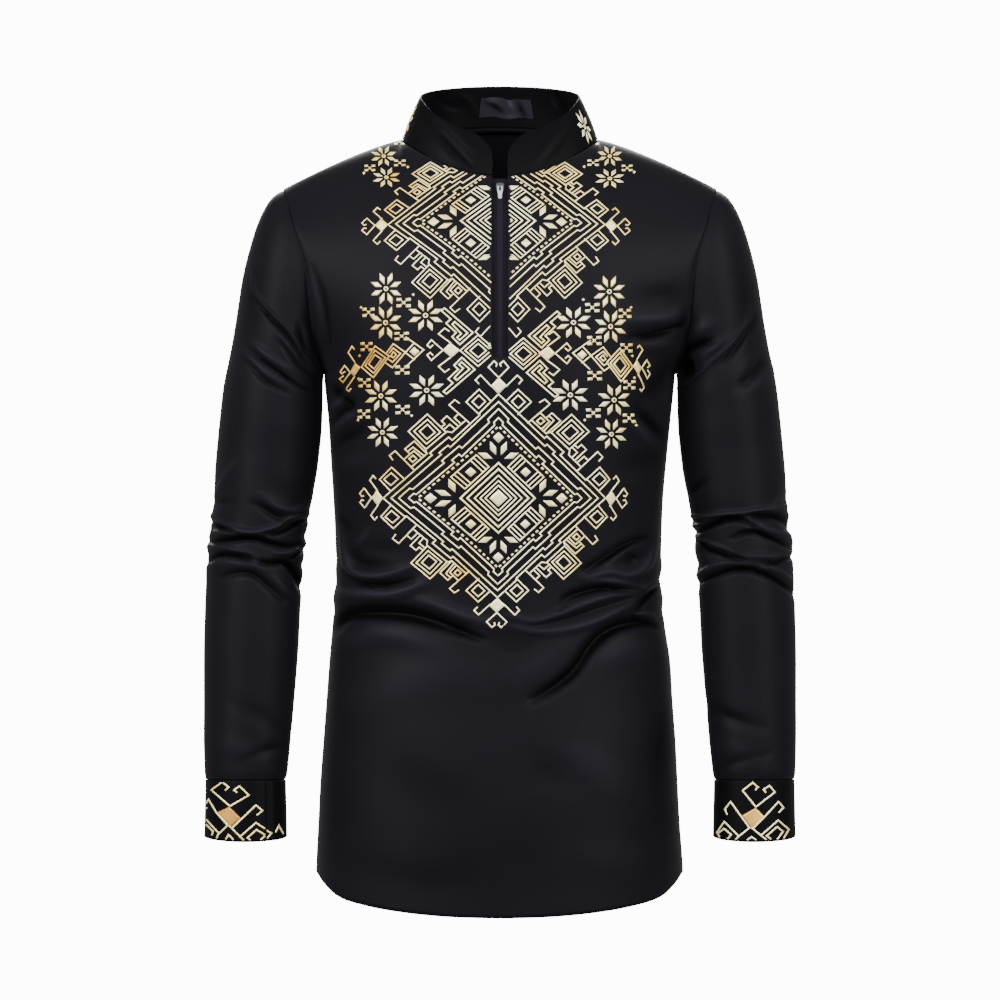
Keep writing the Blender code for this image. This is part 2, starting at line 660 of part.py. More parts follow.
# zip slider: a shield-shaped body and the bridge over it, joined
frame = zip_frame()
half_w = SLIDER_WIDTH / 2
half_l = SLIDER_LENGTH / 2
shield = [(-half_w, -half_l + 0.0015), (-half_w + 0.0012, -half_l), (0.0, -half_l + 0.0008),
          (half_w - 0.0012, -half_l), (half_w, -half_l + 0.0015), (half_w, 0.0005),
          (half_w * 0.70, half_l - 0.0008), (half_w * 0.55, half_l), (-half_w * 0.55, half_l),
          (-half_w * 0.70, half_l - 0.0008), (-half_w, 0.0005)]
body_mesh = add_outline("slider body", [shield], SLIDER_WALL / 2)
body_mesh.transform(Matrix.Translation((0, 0, SEAM + SLIDER_WALL / 2)))
low = SEAM + SLIDER_WALL
inner = BRIDGE_REACH - BRIDGE_LEG
arch = [(-BRIDGE_REACH, low - 0.0008), (-inner, low - 0.0008), (-inner, low + BRIDGE_ROOM),
        (inner, low + BRIDGE_ROOM), (inner, low - 0.0008), (BRIDGE_REACH, low - 0.0008),
        (BRIDGE_REACH, low + BRIDGE_ROOM + BRIDGE_TOP * 0.4),
        (BRIDGE_REACH - 0.0008, low + BRIDGE_ROOM + BRIDGE_TOP),
        (-BRIDGE_REACH + 0.0008, low + BRIDGE_ROOM + BRIDGE_TOP),
        (-BRIDGE_REACH, low + BRIDGE_ROOM + BRIDGE_TOP * 0.4)]
bridge_mesh = add_outline("slider bridge", [arch], BRIDGE_WIDTH / 2)
stand = Matrix(((0, 0, 1), (1, 0, 0), (0, 1, 0))).to_4x4()
bridge_mesh.transform(stand)
slider = bpy.data.objects.new("zip_slider", body_mesh)
shirt.objects.link(slider)
slider.matrix_world = frame
cutters = bpy.data.collections.new("cutters")
bpy.context.scene.collection.children.link(cutters)
bridge = bpy.data.objects.new("slider bridge", bridge_mesh)
cutters.objects.link(bridge)
bridge.matrix_world = frame
bridge.hide_render = True
bridge.display_type = "WIRE"
join = slider.modifiers.new("bridge", "BOOLEAN")
join.operation = "UNION"
join.solver = "EXACT"
join.object = bridge

# pull tab, its origin on the bar that turns under the bridge
hole = TAB_HOLE_WIDTH / 2
wide = TAB_WIDTH / 2
tip = TAB_LENGTH
outline = [(-wide, -TAB_BAR), (wide, -TAB_BAR), (wide, 0.0058), (wide * 0.72, 0.0085)]
for k in range(9):
    angle = math.pi * k / 8
    outline.append((0.0019 * math.cos(angle), tip - 0.0019 + 0.0019 * math.sin(angle)))
outline += [(-wide * 0.72, 0.0085), (-wide, 0.0058)]
window = [(-hole, TAB_BAR), (-hole, TAB_HOLE_END), (hole, TAB_HOLE_END), (hole, TAB_BAR)]
tab = bpy.data.objects.new("zip_pull", add_outline("zip pull", [outline, window], TAB_WALL / 2))
shirt.objects.link(tab)
tab.matrix_world = frame @ Matrix.Translation((0, 0, low + BRIDGE_ROOM / 2))

# materials
BLACK_SATIN = (0.010, 0.009, 0.011)
LOOKS = {
    "front_body": (BLACK_SATIN, 0.42, 0.0),
    "back_body": (BLACK_SATIN, 0.42, 0.0),
    "sleeve_wearer_right": (BLACK_SATIN, 0.42, 0.0),
    "sleeve_wearer_left": (BLACK_SATIN, 0.42, 0.0),
    "cuff_wearer_right": (BLACK_SATIN, 0.40, 0.0),
    "cuff_wearer_left": (BLACK_SATIN, 0.40, 0.0),
    "collar": (BLACK_SATIN, 0.40, 0.0),
    "neck_label": ((0.030, 0.030, 0.032), 0.35, 0.0),
    "zip_tape_wearer_right": ((0.012, 0.012, 0.014), 0.75, 0.0),
    "zip_tape_wearer_left": ((0.012, 0.012, 0.014), 0.75, 0.0),
    "zip_slider": ((0.62, 0.62, 0.63), 0.22, 1.0),
    "zip_pull": ((0.62, 0.62, 0.63), 0.25, 1.0),
}
for name, (colour, roughness, metallic) in LOOKS.items():
    thing = bpy.data.objects[name]
    thing.data.materials.clear()
    thing.data.materials.append(make_material(name, colour, roughness, metallic))
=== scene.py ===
"""A black satin shirt with gold foil print, stand collar and half zip, filled out, no wearer."""
import math

import bpy
import numpy as np
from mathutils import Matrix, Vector


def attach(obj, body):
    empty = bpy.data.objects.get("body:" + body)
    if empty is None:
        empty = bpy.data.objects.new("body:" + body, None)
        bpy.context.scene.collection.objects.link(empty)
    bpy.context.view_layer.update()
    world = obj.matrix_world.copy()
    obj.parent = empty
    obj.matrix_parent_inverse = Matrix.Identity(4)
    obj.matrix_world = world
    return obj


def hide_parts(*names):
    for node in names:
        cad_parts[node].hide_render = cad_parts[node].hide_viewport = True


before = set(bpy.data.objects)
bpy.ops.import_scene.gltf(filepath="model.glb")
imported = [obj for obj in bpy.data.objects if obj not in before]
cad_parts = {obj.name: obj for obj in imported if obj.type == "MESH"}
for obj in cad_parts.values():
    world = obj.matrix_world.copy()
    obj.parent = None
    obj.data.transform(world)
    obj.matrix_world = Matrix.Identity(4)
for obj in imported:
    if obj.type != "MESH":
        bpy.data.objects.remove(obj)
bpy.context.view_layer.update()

MM = 0.001
PI = math.pi

# ------------------------------------------------------------------ sizes shared with the solids
BAND = 0.0016
SEAM = 0.0003
RIDGE = 0.0003
SET_BACK = SEAM / 2 + RIDGE  # how far an edge stands back from its seam
CLOTH_SHOWN = 0.8 * MM       # wall of the dressed cloth
SEAM_DEEP = 0.0011           # how far a seam pulls the cloth in, and how far beside it
SEAM_REACH = 0.0035
NECK_HALF = 0.098
NECK_FRONT = 0.075
NECK_BACK = 0.068
NECK_FRONT_DROP = 0.036
NECK_BACK_DROP = -0.011
SHOULDER_HALF = 0.217
SHOULDER_DROP = 0.0495
NECK_SHARE = 0.5
UNDERARM_DROP = 0.234
ARMHOLE_FRONT = 0.058
ARMHOLE_BACK = 0.062
COLLAR_TOP_HALF = 0.080
COLLAR_TOP_FRONT = 0.059
COLLAR_TOP_BACK = 0.063
COLLAR_TOP_SIDE_DROP = -0.043
COLLAR_TOP_FRONT_DROP = -0.004
COLLAR_TOP_BACK_DROP = -0.0545
COLLAR_HEIGHT = 0.0425
COLLAR_CORNER = 0.026
SLIT_HALF = 0.0075
SLIT_BODY_HALF = 0.176       # half width of the body where the slit's columns are found
SLIT_DROP = 0.218
TAPE_HALF = 0.0112
TAPE_TOP_DROP = 0.0395
TAPE_END_DROP = 0.2245
TAPE_BEHIND = 0.0015         # how far the zip tape lies behind the front's outer surface
SLIDER_FOOT_DROP = 0.0535
LABEL_FROM = -0.021          # ends and height of the neck label, inside the collar's back
LABEL_TO = 0.034
LABEL_LOW = 0.30
LABEL_HIGH = 0.74
CUFF_TOP_DROP = 0.6390
CUFF_HEIGHT = 0.0560
CUFF_FRONT_DIP = 0.0060
CUFF_LAP = 0.024
CUFF_LAP_STEP = 0.0021

# drop, half width at the wearer's right, half width at the left, depth in front, depth behind
BODY = (
    (0.218, 0.1765, 0.1755, 0.128, 0.108),
    (0.240, 0.1750, 0.1740, 0.129, 0.108),
    (0.280, 0.1710, 0.1700, 0.128, 0.105),
    (0.320, 0.1685, 0.1660, 0.126, 0.101),
    (0.360, 0.1660, 0.1625, 0.123, 0.098),
    (0.400, 0.1640, 0.1610, 0.120, 0.095),
    (0.440, 0.1640, 0.1605, 0.118, 0.094),
    (0.480, 0.1665, 0.1635, 0.119, 0.097),
    (0.520, 0.1700, 0.1695, 0.121, 0.102),
    (0.560, 0.1730, 0.1720, 0.124, 0.107),
    (0.600, 0.1760, 0.1750, 0.127, 0.111),
    (0.640, 0.1790, 0.1770, 0.129, 0.114),
    (0.680, 0.1810, 0.1790, 0.131, 0.116),
    (0.720, 0.1830, 0.1820, 0.132, 0.118),
    (0.780, 0.1840, 0.1840, 0.133, 0.119),
)
# column of the panel (0 middle, 1 side seam), drop of the hem
HEM = (
    (0.00, 0.7770), (0.20, 0.7750), (0.37, 0.7705), (0.51, 0.7650),
    (0.69, 0.7550), (0.80, 0.7440), (0.90, 0.7350), (1.00, 0.7300),
)
# drop, half width between the armhole seams
ARMHOLE = (
    (0.0495, 0.2170), (0.0650, 0.2115), (0.0850, 0.2070), (0.1080, 0.2000), (0.1320, 0.1942),
    (0.1600, 0.1912), (0.1850, 0.1890), (0.2100, 0.1840), (0.2340, 0.1760),
)
# ring number; outer edge: half width, drop; inner edge: half width, drop; half depth; how far
# forward
SLEEVE = tuple((float(i),) + row for i, row in enumerate((
    (0.2170, 0.0495, 0.1760, 0.2340, 0.0600, 0.000),
    (0.2300, 0.0600, 0.1765, 0.2375, 0.0615, 0.000),
    (0.2410, 0.0800, 0.1768, 0.2410, 0.0625, 0.000),
    (0.2500, 0.1070, 0.1769, 0.2445, 0.0635, 0.000),
    (0.2575, 0.1370, 0.1770, 0.2485, 0.0640, 0.000),
    (0.2620, 0.1650, 0.1771, 0.2530, 0.0640, 0.000),
    (0.2660, 0.1920, 0.1772, 0.2590, 0.0635, 0.000),
    (0.2710, 0.2190, 0.1773, 0.2670, 0.0630, 0.001),
    (0.2765, 0.2460, 0.1776, 0.2780, 0.0625, 0.001),
    (0.2800, 0.2760, 0.1785, 0.2940, 0.0615, 0.002),
    (0.2830, 0.3060, 0.1805, 0.3130, 0.0605, 0.002),
    (0.2850, 0.3300, 0.1830, 0.3330, 0.0595, 0.003),
    (0.2860, 0.3560, 0.1875, 0.3570, 0.0585, 0.004),
    (0.2885, 0.3780, 0.1915, 0.3780, 0.0575, 0.004),
    (0.2920, 0.4000, 0.1940, 0.4000, 0.0565, 0.005),
    (0.2930, 0.4200, 0.1965, 0.4200, 0.0555, 0.007),
    (0.2940, 0.4420, 0.1975, 0.4420, 0.0545, 0.009),
    (0.2950, 0.4700, 0.1995, 0.4700, 0.0530, 0.012),
    (0.2960, 0.5100, 0.2015, 0.5100, 0.0510, 0.016),
    (0.2960, 0.5600, 0.2055, 0.5600, 0.0480, 0.021),
    (0.2960, 0.6000, 0.2090, 0.6000, 0.0455, 0.025),
    (0.2950, 0.6387, 0.2130, 0.6387, 0.0430, 0.028),
)))
LAST_RING = float(len(SLEEVE) - 1)
_, WRIST_OUTER, _, WRIST_INNER, _, WRIST_DEEP, WRIST_FORWARD = SLEEVE[-1]
WRIST_CENTRE = (WRIST_OUTER + WRIST_INNER) / 2
WRIST_HALF = (WRIST_OUTER - WRIST_INNER) / 2
CUFF_TURN = CUFF_LAP / (PI * (WRIST_HALF + WRIST_DEEP)) * 2 * PI
CUFF_INSET = 0.0008          # the cuff starts this far inside the sleeve's end
CUFF_FLARE = 0.0012          # and widens by this towards the hand

# ------------------------------------------------------------------ folds
# A soft fold: half width and height in millimetres, then the points it runs through, as drawn
# from the front: x across with the middle of the shirt at 500, y down with the shoulder points
# at 140. A height below zero is a trough.
MIDDLE_X = 500
SHOULDER_Y = 140
PATH_STEP = 3.0
FOLD_WIDTH = 0.85
RIDGE_GAIN = 1.5
TROUGH_GAIN = 1.9
BROAD = 9.0                  # folds this wide keep the height they have in the tables
FRONT_FOLDS = (
    (34, -1.5, (668, 780), (656, 835), (640, 885)),
    (48, -1.0, (400, 868), (500, 862), (600, 862)),
    # the tuck at the wearer's right of the waist
    (5.0, 3.0, (341, 530), (348, 566), (358, 574), (375, 576), (392, 573), (414, 566)),
    (7.0, -1.6, (350, 548), (362, 563), (384, 566)),
    (4.0, -2.8, (346, 570), (357, 581), (375, 585), (393, 584), (412, 580)),
    (6.0, 3.6, (336, 592), (362, 594), (385, 595), (403, 591), (424, 583)),
    (8.0, -5.6, (334, 627), (345, 618), (356, 613), (383, 612), (408, 614), (432, 620), (460, 630)),
    (5.0, -2.4, (455, 628), (470, 634), (484, 640)),
    (6.5, 2.6, (420, 600), (438, 605), (460, 614), (482, 621), (496, 625)),
    (10.0, 2.4, (342, 642), (375, 634), (410, 638), (440, 648)),
    (9.0, -1.6, (366, 548), (402, 550)),
    (6.0, 1.5, (354, 549), (368, 531)),
    (7.0, -1.4, (340, 512), (352, 534)),
    # the tuck at the wearer's left
    (4.2, -3.6, (586, 570), (597, 563), (608, 556), (620, 548), (633, 541), (645, 538)),
    (5.0, 2.6, (586, 578), (596, 575), (611, 572), (628, 575), (643, 569), (651, 557), (659, 536)),
    (7.0, -2.0, (624, 560), (638, 558)),
    (4.0, 2.0, (590, 582), (611, 582), (633, 586), (644, 587)),
    (5.0, -3.2, (562, 609), (568, 597), (590, 590), (603, 588), (627, 590), (641, 590)),
    (4.5, 2.6, (512, 616), (535, 621), (560, 613), (585, 603), (611, 595), (638, 591), (660, 580)),
    (4.0, -1.3, (530, 626), (562, 620), (590, 611), (614, 603), (634, 597)),
    (5.0, 2.2, (512, 627), (537, 631), (565, 629), (592, 622), (615, 612), (638, 600)),
    (3.8, -3.2, (634, 616), (638, 607), (645, 598), (662, 585)),
    (4.5, 2.4, (636, 613), (648, 616), (662, 626)),
    (7.0, -5.0, (534, 698), (557, 684), (573, 671), (583, 658), (591, 646), (603, 634),
     (618, 626), (637, 622), (662, 624)),
    (14.0, 2.0, (520, 678), (552, 652), (575, 640)),
    (14.0, 2.0, (596, 668), (622, 650), (650, 645)),
    (9.0, -2.2, (662, 705), (658, 745), (655, 785)),
    (16.0, -1.4, (480, 640), (525, 648), (565, 645)),
    # broad waves below
    (24.0, 1.8, (355, 700), (430, 672), (500, 668)),
    (26.0, -1.6, (380, 760), (430, 790), (480, 800)),
    (22.0, 1.4, (545, 745), (600, 770), (640, 800)),
    (16.0, -1.4, (528, 760), (575, 780)),
    (18.0, -1.2, (345, 860), (420, 880), (480, 874)),
    (18.0, 1.2, (560, 850), (625, 862), (660, 850)),
    # chest, by the armholes
    (4.5, -3.6, (632, 337), (647, 336), (659, 333), (670, 330), (680, 325), (684, 316)),
    (7.0, 2.6, (630, 321), (655, 319), (672, 317), (683, 312)),
    (11.0, -2.0, (634, 297), (660, 296), (688, 294)),
    (6.0, 1.6, (640, 346), (660, 345), (676, 343)),
    (9.0, -3.2, (640, 402), (652, 388), (664, 370), (672, 352)),
    (5.0, 2.4, (630, 420), (643, 434), (652, 447)),
    (6.0, -2.4, (636, 410), (650, 424), (664, 440)),
    (12.0, -1.8, (618, 470), (640, 462), (664, 452)),
    (2.6, -1.9, (311, 266), (318, 283), (324, 298), (328, 315), (330, 332), (331, 346)),
    (5.0, 1.5, (310, 278), (316, 297), (321, 318), (323, 338)),
    (6.0, -3.2, (334, 386), (344, 398), (356, 410)),
    (4.0, 2.6, (328, 414), (338, 402), (350, 390)),
    (4.0, -2.0, (332, 424), (342, 414), (354, 404)),
    (4.5, 2.4, (334, 432), (346, 420), (360, 408)),
    (7.0, -1.8, (336, 446), (350, 436), (366, 428)),
    (10.0, 1.6, (338, 470), (352, 462), (368, 458)),
)
BACK_FOLDS = (
    (7.0, -4.0, (338, 606), (372, 596), (410, 604), (452, 628), (486, 640)),
    (6.0, 2.6, (338, 592), (372, 582), (412, 588), (456, 610), (490, 622)),
    (9.0, 2.2, (342, 624), (374, 614), (408, 622), (440, 640)),
    (5.0, -2.6, (344, 566), (368, 570), (396, 562)),
    (7.0, -4.2, (528, 650), (560, 632), (590, 608), (624, 590), (660, 580)),
    (6.0, 2.8, (520, 636), (552, 618), (584, 596), (620, 576), (658, 564)),
    (4.5, -2.8, (590, 574), (616, 556), (646, 548)),
    (9.0, 2.2, (560, 660), (594, 638), (628, 622), (660, 614)),
    (9.0, -3.0, (400, 566), (450, 552), (505, 548), (560, 556), (602, 572)),
    (8.0, 2.2, (404, 548), (452, 534), (506, 530), (560, 538), (600, 552)),
    (12.0, -2.0, (430, 690), (480, 678), (540, 676), (590, 684)),
    (6.0, -2.6, (338, 398), (352, 424), (372, 452)),
    (6.0, -2.6, (664, 400), (648, 428), (630, 456)),
    (8.0, -2.2, (316, 296), (338, 322), (366, 346)),
    (8.0, -2.2, (686, 296), (664, 322), (636, 348)),
    (11.0, -1.2, (440, 180), (500, 194), (560, 180)),
    (26.0, 1.8, (390, 790), (470, 812), (560, 806), (620, 786)),
    (18.0, -1.3, (350, 850), (440, 872), (520, 866)),
)
RIGHT_FRONT_FOLDS = (
    (24, -1.3, (268, 262), (256, 335)),
    # creases that run to the underarm
    (2.0, 1.5, (253, 272), (253, 284), (257, 296), (265, 306), (275, 316), (287, 328),
     (295, 339), (302, 351), (310, 364), (316, 375)),
    (2.6, -1.7, (252, 296), (262, 309), (272, 320), (284, 332), (292, 342), (299, 354), (308, 368)),
    (4.0, 1.4, (277, 334), (286, 344), (294, 355), (303, 366), (314, 375)),
    (3.4, -2.0, (281, 343), (291, 355), (300, 366), (312, 377)),
    (2.5, -2.1, (250, 350), (263, 360), (274, 368), (287, 378), (297, 385), (309, 392)),
    (4.0, 1.7, (252, 343), (263, 352), (274, 360), (288, 370)),
    (3.2, -1.7, (244, 359), (254, 369), (263, 379), (274, 386), (287, 393)),
    (4.5, 1.4, (243, 351), (254, 362), (268, 374), (282, 384)),
    (3.0, 1.6, (302, 322), (306, 336), (309, 350)),
    (3.5, -2.0, (298, 326), (302, 342), (306, 356)),
    # the upper arm
    (2.4, 1.7, (215, 497), (222, 483), (228, 471), (233, 461)),
    (4.5, -1.6, (213, 502), (224, 501), (232, 503)),
    (4.5, -2.2, (254, 503), (264, 508), (275, 515), (288, 521)),
    (4.5, 1.9, (262, 494), (273, 504), (285, 509), (297, 510), (306, 504), (311, 494)),
    (10.0, -1.2, (270, 478), (284, 492), (298, 492)),
    # the bunched elbow
    (2.9, 2.4, (209, 513), (215, 518), (223, 523), (233, 528), (243, 531), (254, 532), (265, 530),
     (275, 527), (285, 521), (295, 517), (310, 514)),
    (3.0, -2.9, (209, 520), (215, 524), (222, 527), (233, 531)),
    (3.0, -3.0, (267, 535), (279, 532), (289, 528), (296, 524), (310, 519)),
    (3.0, 1.8, (207, 531), (220, 533), (234, 533)),
    (2.6, 1.2, (236, 532), (254, 535), (268, 535)),
    (3.3, -4.6, (204, 541), (213, 541), (224, 540), (236, 539), (247, 538), (259, 539), (267, 542),
     (278, 545), (289, 546), (299, 545)),
    (2.6, 1.5, (206, 547), (215, 547), (226, 548), (238, 551), (250, 553)),
    (3.3, -3.8, (206, 563), (212, 559), (219, 555), (229, 555), (238, 556), (247, 558), (254, 560)),
    (3.0, 2.2, (276, 553), (286, 553), (294, 550), (301, 546), (310, 541)),
    (3.0, -2.6, (288, 559), (295, 556), (303, 551), (310, 548)),
    (3.4, -4.0, (259, 562), (271, 563), (281, 562), (288, 564), (294, 572), (299, 581),
     (303, 592)),
    (3.6, 1.8, (253, 555), (257, 563), (261, 572)),
    (4.2, -2.2, (222, 577), (232, 574), (242, 572), (251, 573), (259, 577), (267, 584),
     (276, 592), (284, 601)),
    (4.0, 1.4, (276, 578), (284, 588), (292, 597)),
    (6.0, 1.4, (206, 573), (211, 566), (220, 562), (236, 563), (246, 566)),
    # the forearm
    (9.0, -1.3, (232, 700), (262, 716), (290, 736)),
    (10.0, 1.3, (212, 740), (246, 752), (276, 768)),
    (6.0, -1.4, (240, 762), (262, 752), (284, 746)),
)
LEFT_FRONT_FOLDS = (
    (26, -1.9, (731, 262), (744, 340)),
    (2.0, 1.5, (676, 389), (688, 383), (700, 373), (713, 361), (727, 348), (738, 335), (746, 325),
     (749, 315), (749, 305)),
    (3.2, -1.9, (722, 364), (731, 355), (741, 341), (749, 329), (755, 319)),
    (4.5, -3.2, (682, 351), (693, 347), (703, 343), (714, 342)),
    (6.5, 2.0, (686, 336), (697, 329), (712, 325)),
    (8.0, -3.6, (683, 354), (688, 366), (692, 378)),
    (5.0, 1.6, (702, 356), (714, 347), (724, 339)),
    (6.0, -1.8, (748, 380), (756, 370), (763, 358)),
    (7.0, -1.2, (738, 388), (750, 378)),
    (8.0, 1.3, (756, 388), (766, 376), (773, 362)),
    (5.0, -1.6, (690, 494), (697, 487), (704, 481)),
    (3.4, 1.6, (779, 456), (781, 470), (784, 482)),
    (4.0, 1.6, (786, 487), (778, 500), (770, 509)),
    # the bunched elbow
    (3.0, 2.6, (686, 517), (694, 516), (709, 516), (723, 514), (737, 513), (749, 512), (760, 510),
     (771, 509), (790, 505)),
    (3.0, -2.2, (688, 520), (696, 521), (703, 521)),
    (2.0, 1.4, (690, 527), (698, 525), (707, 520)),
    (3.3, -3.4, (688, 533), (696, 531), (704, 529), (712, 525), (722, 521), (732, 519), (742, 520),
     (748, 523), (753, 527)),
    (4.2, -3.4, (747, 515), (760, 516), (772, 516), (779, 518), (785, 522), (793, 530)),
    (4.5, 1.8, (746, 518), (755, 523), (766, 529), (777, 533), (790, 536)),
    (3.0, -3.2, (733, 538), (740, 534), (749, 532), (759, 533), (768, 537), (775, 540), (790, 548)),
    (2.0, 1.4, (692, 535), (706, 541), (715, 545), (724, 549), (732, 553)),
    (3.0, -3.2, (692, 539), (702, 544), (709, 549), (719, 552), (731, 557), (744, 560)),
    (3.5, 1.6, (742, 557), (760, 556), (772, 557), (781, 555), (796, 552)),
    (3.6, -2.4, (762, 564), (774, 563), (782, 559), (796, 557)),
    (3.4, 2.2, (690, 580), (698, 575), (706, 570), (716, 565), (730, 562)),
    (3.3, -3.6, (694, 585), (701, 581), (710, 577), (720, 573), (731, 570), (742, 569), (752, 570),
     (761, 573), (770, 577), (780, 583), (790, 590), (796, 597)),
    (3.0, 1.9, (764, 564), (776, 570), (786, 577), (795, 586)),
    (5.0, 1.2, (700, 553), (712, 561)),
    # the forearm
    (8.0, -1.4, (702, 700), (728, 716), (762, 726)),
    (9.0, 1.3, (716, 742), (748, 756), (780, 768)),
    (6.0, -1.4, (714, 770), (738, 760), (768, 754)),
)
RIGHT_BACK_FOLDS = (
    (4.5, -4.0, (204, 533), (230, 524), (262, 522), (290, 528), (310, 538)),
    (4.5, 2.6, (204, 520), (232, 511), (264, 509), (292, 515), (312, 524)),
    (4.0, -3.4, (206, 556), (236, 548), (266, 552), (304, 566)),
    (5.0, 2.0, (206, 545), (236, 538), (268, 541), (306, 553)),
    (4.0, -2.6, (214, 582), (242, 572), (272, 574), (300, 586)),
    (5.0, -2.6, (250, 320), (278, 346), (312, 378)),
    (5.0, 1.8, (256, 306), (284, 332), (314, 364)),
    (8.0, -1.6, (218, 746), (250, 736), (282, 732)),
)
LEFT_BACK_FOLDS = (
    (4.5, -4.0, (690, 535), (716, 526), (748, 524), (794, 530)),
    (4.5, 2.6, (690, 522), (716, 513), (750, 511), (794, 516)),
    (4.0, -3.4, (692, 566), (726, 552), (758, 548), (796, 556)),
    (5.0, 2.0, (692, 553), (726, 540), (760, 537), (796, 543)),
    (4.0, -2.6, (698, 588), (730, 576), (764, 574), (796, 586)),
    (5.0, -2.6, (750, 312), (722, 344), (684, 378)),
    (5.0, 1.8, (744, 298), (716, 330), (686, 362)),
    (8.0, -1.6, (720, 740), (752, 734), (784, 742)),
)
# waves of the side outlines: half width and height in millimetres, drawn y
RIGHT_SIDE_WAVES = ((6, -1.0, 559), (7, -1.2, 582), (8, 1.6, 597), (5, -1.0, 612))
LEFT_SIDE_WAVES = ((6, 1.4, 566), (6, -1.6, 580), (5, 1.2, 598), (5, -1.0, 612))
COLLAR_FRONT_FOLDS = (
    (4, 1.1, (434, 115), (446, 124), (461, 138), (474, 151)),
    (3, -1.2, (441, 133), (451, 144), (462, 156), (471, 166)),
    (5, 0.8, (430, 136), (441, 149), (455, 163)),
    (4, -0.7, (421, 108), (427, 119), (436, 129)),
    (5, 0.7, (533, 165), (547, 148), (561, 128)),
    (4, -0.6, (546, 158), (558, 145), (571, 126)),
)
COLLAR_BACK_FOLDS = (
    (3, -1.3, (557, 88), (562, 98), (568, 108)),
    (3, 1.5, (551, 87), (554, 97), (559, 106)),
    (3, 1.1, (566, 90), (572, 99), (577, 106)),
    (4, 0.9, (432, 96), (444, 104), (458, 108)),
    (5, -0.7, (452, 92), (466, 99), (474, 112)),
)
LABEL_FOLDS = (
    (3, 0.55, (508, 95), (510, 101), (513, 107)),
    (4, -0.50, (483, 100), (494, 104), (505, 113)),
    (3, 0.40, (486, 97), (499, 99)),
    (4, -0.45, (517, 99), (521, 108), (526, 117)),
    (3, 0.35, (497, 112), (509, 115), (519, 113)),
)
# how deep the front armhole seam is tucked in, by side: middle, half width and depth in metres
TUCKS = {-1.0: (0.198, 0.034, 0.0052), 1.0: (0.206, 0.026, 0.0044)}


def along(table, column, at):
    """Cubic curve through one column of a table, read at values of its first column."""
    knots = np.array([row[0] for row in table])
    values = np.array([row[column] for row in table])
    slopes = np.gradient(values, knots)
    at = np.clip(at, knots[0], knots[-1])
    i = np.clip(np.searchsorted(knots, at) - 1, 0, len(knots) - 2)
    step = knots[i + 1] - knots[i]
    t = (at - knots[i]) / step
    rest = 1.0 - t
    ends = values[i] * rest**2 * (1 + 2 * t) + values[i + 1] * t**2 * (3 - 2 * t)
    return ends + step * t * rest * (slopes[i] * rest - slopes[i + 1] * t)


def smooth_path(points):
    """Points every PATH_STEP millimetres on a soft curve through the given ones (Catmull-Rom)."""
    knots = np.array(points, dtype=float)
    knots = np.concatenate((2 * knots[:1] - knots[1:2], knots, 2 * knots[-1:] - knots[-2:-1]))
    path = [knots[1:2]]
    for a, b, c, d in zip(knots[:-3], knots[1:-2], knots[2:-1], knots[3:]):
        t = np.linspace(0, 1, max(2, int(np.hypot(*(c - b)) / PATH_STEP) + 1))[1:, None]
        path.append(0.5 * (2 * b + (c - a) * t + (2 * a - 5 * b + 4 * c - d) * t**2
                           + (3 * b - a - 3 * c + d) * t**3))
    return np.concatenate(path)


def fold_height(folds, x, drop):
    """Sum of soft folds: bell-shaped ridges and troughs by the distance from a curve, highest in
    the middle of its length."""
    height = np.zeros_like(x)
    flat = np.stack((MIDDLE_X + x / MM, SHOULDER_Y + drop / MM), axis=-1)
    for half, peak, *points in folds:
        if half < BROAD:
            half, peak = half * FOLD_WIDTH, peak * (RIDGE_GAIN if peak > 0 else TROUGH_GAIN)
        path = smooth_path(points)
        low, high = path.min(axis=0) - 2.6 * half, path.max(axis=0) + 2.6 * half
        near = ((flat > low) & (flat < high)).all(axis=-1)
        if not near.any():
            continue
        here = flat[near][:, None, :]
        run = np.diff(path, axis=0)
        length = np.hypot(run[:, 0], run[:, 1])
        share = np.clip(np.sum((here - path[:-1]) * run, axis=-1) / length**2, 0, 1)
        gap = np.linalg.norm(here - path[:-1] - share[..., None] * run, axis=-1)
        best = np.argmin(gap, axis=1)
        pick = np.arange(len(best)), best
        gone = (np.cumsum(length) - length)[best] + share[pick] * length[best]
        bell = np.exp(-(gap[pick] / half)**2) * (0.35 + 0.65 * np.sin(PI * gone / length.sum()))
        height[near] += peak * MM * bell
    return height


def top_edge(u, front):
    """Upper edge of a body panel: the neckline in the middle, a shoulder seam at each side."""
    a = np.abs(u)
    turn = (1 - np.clip(a / NECK_SHARE, 0, 1)) * PI / 2
    out = np.clip((a - NECK_SHARE) / (1 - NECK_SHARE), 0, 1)
    x = np.sign(u) * (NECK_HALF * np.cos(turn) + (SHOULDER_HALF - NECK_HALF) * out)
    y = (NECK_FRONT if front else NECK_BACK) * np.sin(turn)
    dip = NECK_FRONT_DROP if front else NECK_BACK_DROP
    drop = dip * np.sin(turn)**2 + SHOULDER_DROP * out**1.25
    return np.stack((x, y, drop), axis=-1)


def soft_top_edge(u, blend, front):
    """The top edge averaged over a stretch of columns, most weight in its middle."""
    total = 0
    for k in range(-6, 7):
        total = total + (7 - abs(k)) * top_edge(u + blend * k / 7, front)
    return total / 49


